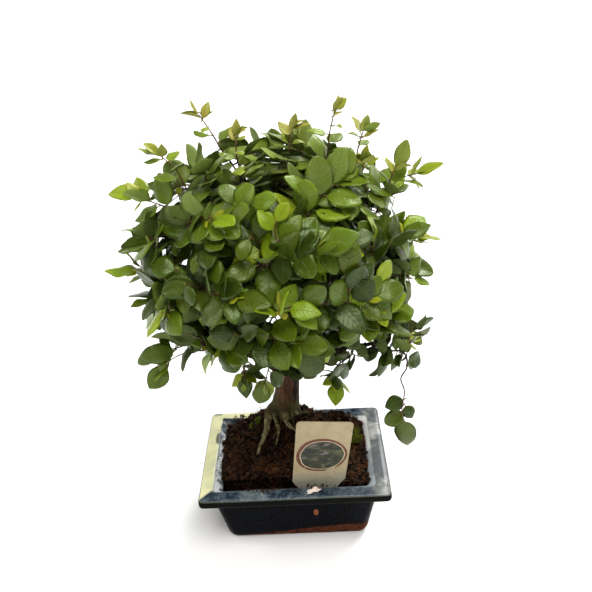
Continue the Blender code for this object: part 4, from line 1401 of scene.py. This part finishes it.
def low_sprays(anchors, crowd, rng, blade):
    """The side twigs that hang below the crown, each with two to four leaves."""
    sprays = []
    for place in LOW_PLACES:
        end = Vector(place) * MM
        plan, start = min(anchors, key=lambda anchor: (anchor[1] - end).length)
        if (end - start).length < 3 * MM:
            end = start + 4 * MM * (any_way(rng) - UP).normalized()
        middle = start.lerp(end, 0.5) + 0.1 * (end - start).length * any_way(rng)
        route = smooth_route([start, middle, end], TWIG_STEP)
        first = max(1, len(route) - 6)
        sprays.append((plan, route, leafed(route, first, 3.2 * MM, blade, crowd, rng, 1.6 * MM)))
    return sprays


def single_leaves(anchors, rng):
    """The leaves that hang alone, facing forwards, with their stems."""
    sprays = []
    for place, towards, length in SINGLE_LEAVES:
        base = Vector(place) * MM
        way = Vector(towards).normalized()
        plan, start = min(anchors, key=lambda anchor: (anchor[1] - base).length)
        foot = base - way * STALK
        middle = start.lerp(foot, 0.5) + 0.08 * (foot - start).length * any_way(rng)
        upper = square_to(way, Vector((rng.uniform(-0.4, 0.4), -1.0, 0.5)))
        route = smooth_route([start, middle, foot], TWIG_STEP)
        sprays.append((plan, route, [(base, way, upper, length * MM)]))
    return sprays


def tip_leaves(route, length, rng):
    """The small folded leaves at a shoot's growing tip."""
    ahead = (route[-1] - route[-2]).normalized()
    side = square_to(ahead, any_way(rng))
    found = []
    for number, share in enumerate((0.8, 1.0, 0.85)):
        sideways = side if number % 2 else -side
        way = (ahead + 0.9 * number * sideways).normalized()
        base = route[-1] - ahead * number * 1.5 * MM + way * STALK * 0.5
        found.append((base, way, square_to(way, UP + 0.6 * any_way(rng)), length * share))
    return found


def stray_leaf(leaf, tip):
    """A leaf of a shoot outside the crown: near the tip it is smaller and spreads more sideways."""
    base, way, normal, length = leaf
    near = max(0.0, 1 - (base - tip).length / (45 * MM)) if tip.z > HIGH_ABOVE else 0.0
    sideways = (way - 0.9 * near * max(way.z, 0.0) * UP).normalized()
    return base, sideways, square_to(sideways, normal + near * UP), length * (1 - 0.3 * near)


def shoot_leaves(plan, crowd, rng, sizes):
    """A shoot's grown leaves, and the small ones at its tip."""
    route = smooth_route(plan.route[1:], 3 * MM)
    found = plan.leaves
    if plan.in_crown:
        blade = max(leaf[3] for leaf in plan.leaves)
        found = found + leafed(route, len(route) // 3, 7 * MM, blade, crowd, rng, sizes.leaf_room)
    young = tip_leaves(route, (9 if plan.in_crown else 14) * MM, rng)
    if plan.name == "shoot_trailing":
        return [leaf for leaf in plan.leaves if leaf[0].z > HANGING_BELOW], []
    if not plan.in_crown:
        found = [stray_leaf(leaf, route[-1]) for leaf in plan.leaves]
    return found, young


def aged(leaf, plan, bright, rng):
    """A leaf with its tone and its youth: darker low down as painted shade, younger near its shoot's tip or
    if bright.
    """
    base = leaf[0]
    near = max(0.0, 1 - (base - plan.route[-1]).length / ((14 if plan.in_crown else 24) * MM))
    young = tip_youth(plan.name) * near * rng.uniform(0.7, 1.1)
    if bright or rng.random() < SHARE_BRIGHT:
        young = max(young, rng.uniform(0.28, 0.45))
    height = min(max((base.z - DARKEST_Z) / (LIGHTEST_Z - DARKEST_Z), 0.0), 1.0)
    # painted shade: lower leaves take darker tones
    return *leaf, rng.random() ** (4.2 - 3.7 * height), min(young, 1.0)


def leaves_piece(name, leaves, rng, sizes):
    """One mesh of many leaves, with where each point is on its leaf and what kind of leaf it is."""
    points, places, kinds = shape_leaves(leaves, rng, sizes.leaf_thickness, sizes.tooth_depth)
    one_leaf = lofted(LEAF_RINGS, LEAF_AROUND, flipped=True)
    starts = range(0, len(points), LEAF_RINGS * LEAF_AROUND)
    faces = [tuple(start + corner for corner in face) for start in starts for face in one_leaf]
    return make_mesh(name, points, faces, True, {"leaf_place": places, "leaf_kind": kinds})


def build_foliage(tints, sizes):
    """Every shoot's leaves, one piece each, and all the twigs."""
    plans = [ShootPlan(name) for name in sorted(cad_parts) if "shoot" in name]
    anchors = [(plan, point) for plan in plans for point in plan.route]
    crowd = Crowd(30000)
    for plan in plans:
        for leaf in plan.leaves:
            crowd.add(crowd.of(leaf))
    chooser = random.Random(31)
    rng = np.random.default_rng(17)
    grown = {plan: shoot_leaves(plan, crowd, chooser, sizes) for plan in plans}
    sprays = low_sprays(anchors, crowd, chooser, 0.85 * sizes.leaf_length)
    sprays += single_leaves(anchors, chooser)
    sprays += grow_sprays(anchors, crowd, chooser, sizes)

    every = [leaf for found, _ in grown.values() for leaf in found]
    every += [leaf for _, _, found in sprays for leaf in found]
    bright = set()
    for place in BRIGHT_PLACES:
        spot = Vector(place) * MM
        bright.add(id(min(every, key=lambda leaf: (leaf[0] + 0.5 * leaf[3] * leaf[1] - spot).length)))

    finish = leaf_finish(tints)
    twigs = Gathered()
    for plan in plans:
        own = [(route, found) for owner, route, found in sprays if owner is plan]
        found, young = grown[plan]
        found = found + [leaf for _, more in own for leaf in more]
        leaves = [aged(leaf, plan, id(leaf) in bright, chooser) for leaf in found]
        leaves += [(*leaf, 1.0, min(1.0, 0.45 + 0.5 * tip_youth(plan.name))) for leaf in young]
        shown(leaves_piece("leaves_" + plan.name, leaves, rng, sizes), finish, "leaf", [plan.name])
        add_twig(twigs, plan)
        for route, _ in own:
            add_stem(twigs, route, 0.6 * MM, 0.32 * MM, 0.2)
    shown(twigs.piece("twigs", "twig_place"), twig_finish(), "bark")


def add_stem(gathered, route, foot, tip, older):
    """A stem with a slightly knotted outline, thinner and younger towards its tip."""
    last = len(route) - 1
    radii = [
        (foot + (tip - foot) * k / last) * (0.9 + 0.12 * math.sin(k * 2.1)) for k in range(last + 1)
    ]
    points, faces = tube(route, radii, 6)
    start = len(gathered.points)
    gathered.add(points, faces, (0, 0, 0))
    for index in range(len(points)):
        gathered.kinds[start + index] = (older + (1 - older) * (index // 6) / last, 0, 0)


def add_twig(gathered, plan):
    """A shoot's stem, from inside its limb to its tip."""
    knots = list(plan.route)
    knots[0] = knots[0] - (knots[1] - knots[0]).normalized() * 1.5 * MM
    older = 0.0 if plan.in_crown else 0.15
    add_stem(gathered, smooth_route(knots, 2 * MM), 0.8 * plan.thick[0], 0.7 * plan.thick[-1], older)


# ---------------------------------------------------------------- stage

FLOOR_HALF = 60.0
CAMERA_PLACE = (0.0206, -0.4083, 0.4402)
CAMERA_TURN = (60.36, 3.08, -0.16)  # degrees, about X, Y and Z


def build_stage(view):
    """A pale floor, soft lights and the camera."""
    centre = (Vector(cad_box[0]) + Vector(cad_box[1])) / 2
    corners = [(x * FLOOR_HALF, y * FLOOR_HALF, 0) for x, y in ((-1, -1), (1, -1), (1, 1), (-1, 1))]
    floor = make_mesh("floor", corners, [(0, 1, 2, 3)], False)
    floor.data.materials.append(floor_finish())

    # Each window: where it stands seen from the tree, its strength, its spread in degrees, its tint.
    lamps = (
        ("window_top", (0.15, -0.33, 1.0), view.key * 0.9, 40, (1.0, 0.99, 0.97)),
        ("window_right", (0.5, 0.7, 0.9), view.key, 30, (1.0, 1.0, 1.0)),
        ("window_left", (-0.9, 0.1, 0.7), view.key * 0.25, 30, (1.0, 0.97, 0.9)),
    )
    for name, towards, power, spread, tint in lamps:
        data = bpy.data.lights.new(name, "SUN")
        data.angle = math.radians(spread)
        data.energy = power
        data.color = tint
        lamp = bpy.data.objects.new(name, data)
        lamp.location = centre + Vector(towards)
        lamp.rotation_mode = "QUATERNION"
        lamp.rotation_quaternion = (-Vector(towards)).to_track_quat("-Z", "Y")
        bpy.context.scene.collection.objects.link(lamp)
    world = bpy.data.worlds.new("studio")
    world.use_nodes = True
    walls = Nodes(world.node_tree)
    _, _, height = walls.parts(walls.node("ShaderNodeTexCoord", {}, {}, "Generated"))
    glow = height.between(0.26, 0.2) * (1 - view.surround) + view.surround
    background = world.node_tree.nodes["Background"]
    walls.plug(background.inputs["Color"], (1, 1, 1))
    walls.plug(background.inputs["Strength"], glow)
    bpy.context.scene.world = world
    bpy.context.scene.view_settings.view_transform = "Standard"

    data = bpy.data.cameras.new("camera")
    data.lens = view.lens
    data.sensor_width = 36
    data.clip_start = 0.01
    camera = bpy.data.objects.new("camera", data)
    camera.location = CAMERA_PLACE
    camera.rotation_euler = [math.radians(turn) for turn in CAMERA_TURN]
    bpy.context.scene.collection.objects.link(camera)
    bpy.context.scene.camera = camera


# ---------------------------------------------------------------- add-on

def tint_property(name, description, code):
    """A colour given as RRGGBB."""
    return FloatVectorProperty(
        name=name, description=description, subtype="COLOR", size=3, min=0, max=1, default=linear(code),
    )


def length_property(name, description, default):
    """A small length, shown to a hundredth of a millimetre."""
    return FloatProperty(name=name, description=description, default=default, unit="LENGTH", precision=5)


class BonsaiTints(bpy.types.PropertyGroup):
    """Colours a user would change."""

    leaf: tint_property("Leaf", "Grown leaves, the lighter ones", "5f760e")
    leaf_dark: tint_property("Dark leaf", "Grown leaves, the darkest ones", "192806")
    leaf_olive: tint_property("Olive leaf", "Grown leaves that turn yellower", "55560c")
    bark: tint_property("Bark", "The upper trunk and the limbs", "4a2f1e")
    glaze: tint_property("Glaze", "The pot's body", "07080b")
    # the colour of the painted window reflection on the rim's left and back
    cream: tint_property("Cream glaze", "The rim's left and back", "e9e8b8")
    clay: tint_property("Clay", "The bare foot", "54301f")
    soil: tint_property("Soil", "The middle tone of the soil", "331b0a")
    moss: tint_property("Moss", "The middle tone of the moss", "66701a")
    card: tint_property("Card", "The label's plastic", "a99976")


class BonsaiSizes(bpy.types.PropertyGroup):
    """Sizes and amounts a user would change."""

    leaf_thickness: length_property("Leaf thickness", "How thick a leaf is beside its midrib", 0.22 * MM)
    tooth_depth: FloatProperty(
        name="Tooth depth", description="How far a leaf's teeth stand out, as a share of its width",
        default=0.035, subtype="FACTOR", min=0, max=0.2,
    )
    leaf_length: length_property("Leaf length", "The longest leaf that fills the crown's gaps", 23 * MM)
    leaf_room: length_property("Room for leaves", "How far apart added leaves stay", 3.2 * MM)
    bark_grain: length_property("Bark grain", "The size of the bark's smallest faces", 0.8 * MM)
    bark_depth: length_property("Bark depth", "How deep the bark's cracks are", 0.55 * MM)
    fine_roots: IntProperty(
        name="Fine roots", description="Thin roots between the trunk and the soil", default=9, min=0,
    )
    soil_grain: length_property("Soil grain", "The size of the soil's smallest faces", 0.75 * MM)
    soil_roughness: length_property("Soil roughness", "How far lumps of soil stand out", 2.2 * MM)
    crumbs: IntProperty(name="Crumbs", description="Loose crumbs on the soil", default=2600, min=0)
    strands: IntProperty(name="Strands", description="Dead roots in the soil", default=420, min=0)
    moss_shoots: IntProperty(
        name="Moss shoots", description="Places in each pad of moss where a shoot may stand", default=1300,
        min=0,
    )
    pot_unevenness: length_property("Pot unevenness", "How far the pot's walls wander", 0.22 * MM)


class BonsaiView(bpy.types.PropertyGroup):
    """Camera and surroundings."""

    lens: FloatProperty(
        name="Lens", description="The camera's focal length in mm", default=39.53, unit="CAMERA", min=1,
    )
    surround: FloatProperty(
        name="Surroundings", description="How bright the studio's walls are", default=0.08, min=0,
    )
    key: FloatProperty(
        name="Key light", description="How strong the window light is, in W/m2", default=3.4, min=0,
    )


class BONSAI_OT_stage(bpy.types.Operator):
    """Set up the floor, the lights and the camera"""

    bl_idname = "bonsai.stage"
    bl_label = "Stage"
    bl_options = {"REGISTER", "UNDO"}

    def execute(self, context):
        build_stage(context.scene.bonsai_view)
        return {"FINISHED"}


class BONSAI_OT_pot(bpy.types.Operator):
    """Make the glazed pot with its two drain holes"""

    bl_idname = "bonsai.pot"
    bl_label = "Pot"
    bl_options = {"REGISTER", "UNDO"}

    def execute(self, context):
        build_pot(context.scene.bonsai_tints, context.scene.bonsai_sizes)
        return {"FINISHED"}


class BONSAI_OT_drain_screens(bpy.types.Operator):
    """Give the two drain screens in the pot their moulded finish"""

    bl_idname = "bonsai.drain_screens"
    bl_label = "Drain screens"
    bl_options = {"REGISTER", "UNDO"}

    def execute(self, context):
        finish_screens()
        return {"FINISHED"}


class BONSAI_OT_soil(bpy.types.Operator):
    """Make the root ball, the potting mix, their crumbs and their dead roots"""

    bl_idname = "bonsai.soil"
    bl_label = "Soil"
    bl_options = {"REGISTER", "UNDO"}

    def execute(self, context):
        build_soil(context.scene.bonsai_tints, context.scene.bonsai_sizes)
        return {"FINISHED"}


class BONSAI_OT_moss(bpy.types.Operator):
    """Make the two pads of moss"""

    bl_idname = "bonsai.moss"
    bl_label = "Moss"
    bl_options = {"REGISTER", "UNDO"}

    def execute(self, context):
        build_moss(context.scene.bonsai_tints, context.scene.bonsai_sizes)
        return {"FINISHED"}


class BONSAI_OT_trunk(bpy.types.Operator):
    """Make the trunk with its limbs, and its thin roots; the soil comes first"""

    bl_idname = "bonsai.trunk"
    bl_label = "Trunk"
    bl_options = {"REGISTER", "UNDO"}

    def execute(self, context):
        build_trunk(context.scene.bonsai_tints, context.scene.bonsai_sizes)
        return {"FINISHED"}


class BONSAI_OT_label(bpy.types.Operator):
    """Make the plant label"""

    bl_idname = "bonsai.label"
    bl_label = "Label"
    bl_options = {"REGISTER", "UNDO"}

    def execute(self, context):
        build_label(context.scene.bonsai_tints)
        return {"FINISHED"}


class BONSAI_OT_petal(bpy.types.Operator):
    """Make the dried petal that lies before the label"""

    bl_idname = "bonsai.petal"
    bl_label = "Petal"
    bl_options = {"REGISTER", "UNDO"}

    def execute(self, context):
        build_petal()
        return {"FINISHED"}


class BONSAI_OT_foliage(bpy.types.Operator):
    """Make every shoot's twig and leaves"""

    bl_idname = "bonsai.foliage"
    bl_label = "Foliage"
    bl_options = {"REGISTER", "UNDO"}

    def execute(self, context):
        build_foliage(context.scene.bonsai_tints, context.scene.bonsai_sizes)
        return {"FINISHED"}


class BONSAI_PT_panel(bpy.types.Panel):
    """The sidebar's list of pieces"""

    bl_idname = "BONSAI_PT_panel"
    bl_label = "Potted bonsai"
    bl_space_type = "VIEW_3D"
    bl_region_type = "UI"
    bl_category = "Bonsai"

    def draw(self, context):
        for operator in OPERATORS:
            self.layout.operator(operator.bl_idname)


OPERATORS = (
    BONSAI_OT_stage, BONSAI_OT_pot, BONSAI_OT_drain_screens, BONSAI_OT_soil, BONSAI_OT_moss,
    BONSAI_OT_trunk, BONSAI_OT_label, BONSAI_OT_petal, BONSAI_OT_foliage,
)
CLASSES = (BonsaiTints, BonsaiSizes, BonsaiView, *OPERATORS, BONSAI_PT_panel)


def register():
    """Adds the classes and the scene's settings."""
    for cls in CLASSES:
        bpy.utils.register_class(cls)
    bpy.types.Scene.bonsai_tints = PointerProperty(type=BonsaiTints)
    bpy.types.Scene.bonsai_sizes = PointerProperty(type=BonsaiSizes)
    bpy.types.Scene.bonsai_view = PointerProperty(type=BonsaiView)


def unregister():
    """Takes them away again."""
    del bpy.types.Scene.bonsai_view
    del bpy.types.Scene.bonsai_sizes
    del bpy.types.Scene.bonsai_tints
    for cls in reversed(CLASSES):
        bpy.utils.unregister_class(cls)


def main():
    """Makes every piece in order."""
    register()
    bpy.ops.bonsai.stage()
    bpy.ops.bonsai.pot()
    bpy.ops.bonsai.drain_screens()
    bpy.ops.bonsai.soil()
    bpy.ops.bonsai.moss()
    bpy.ops.bonsai.trunk()
    bpy.ops.bonsai.label()
    bpy.ops.bonsai.petal()
    bpy.ops.bonsai.foliage()


if __name__ == "__main__":
    main()
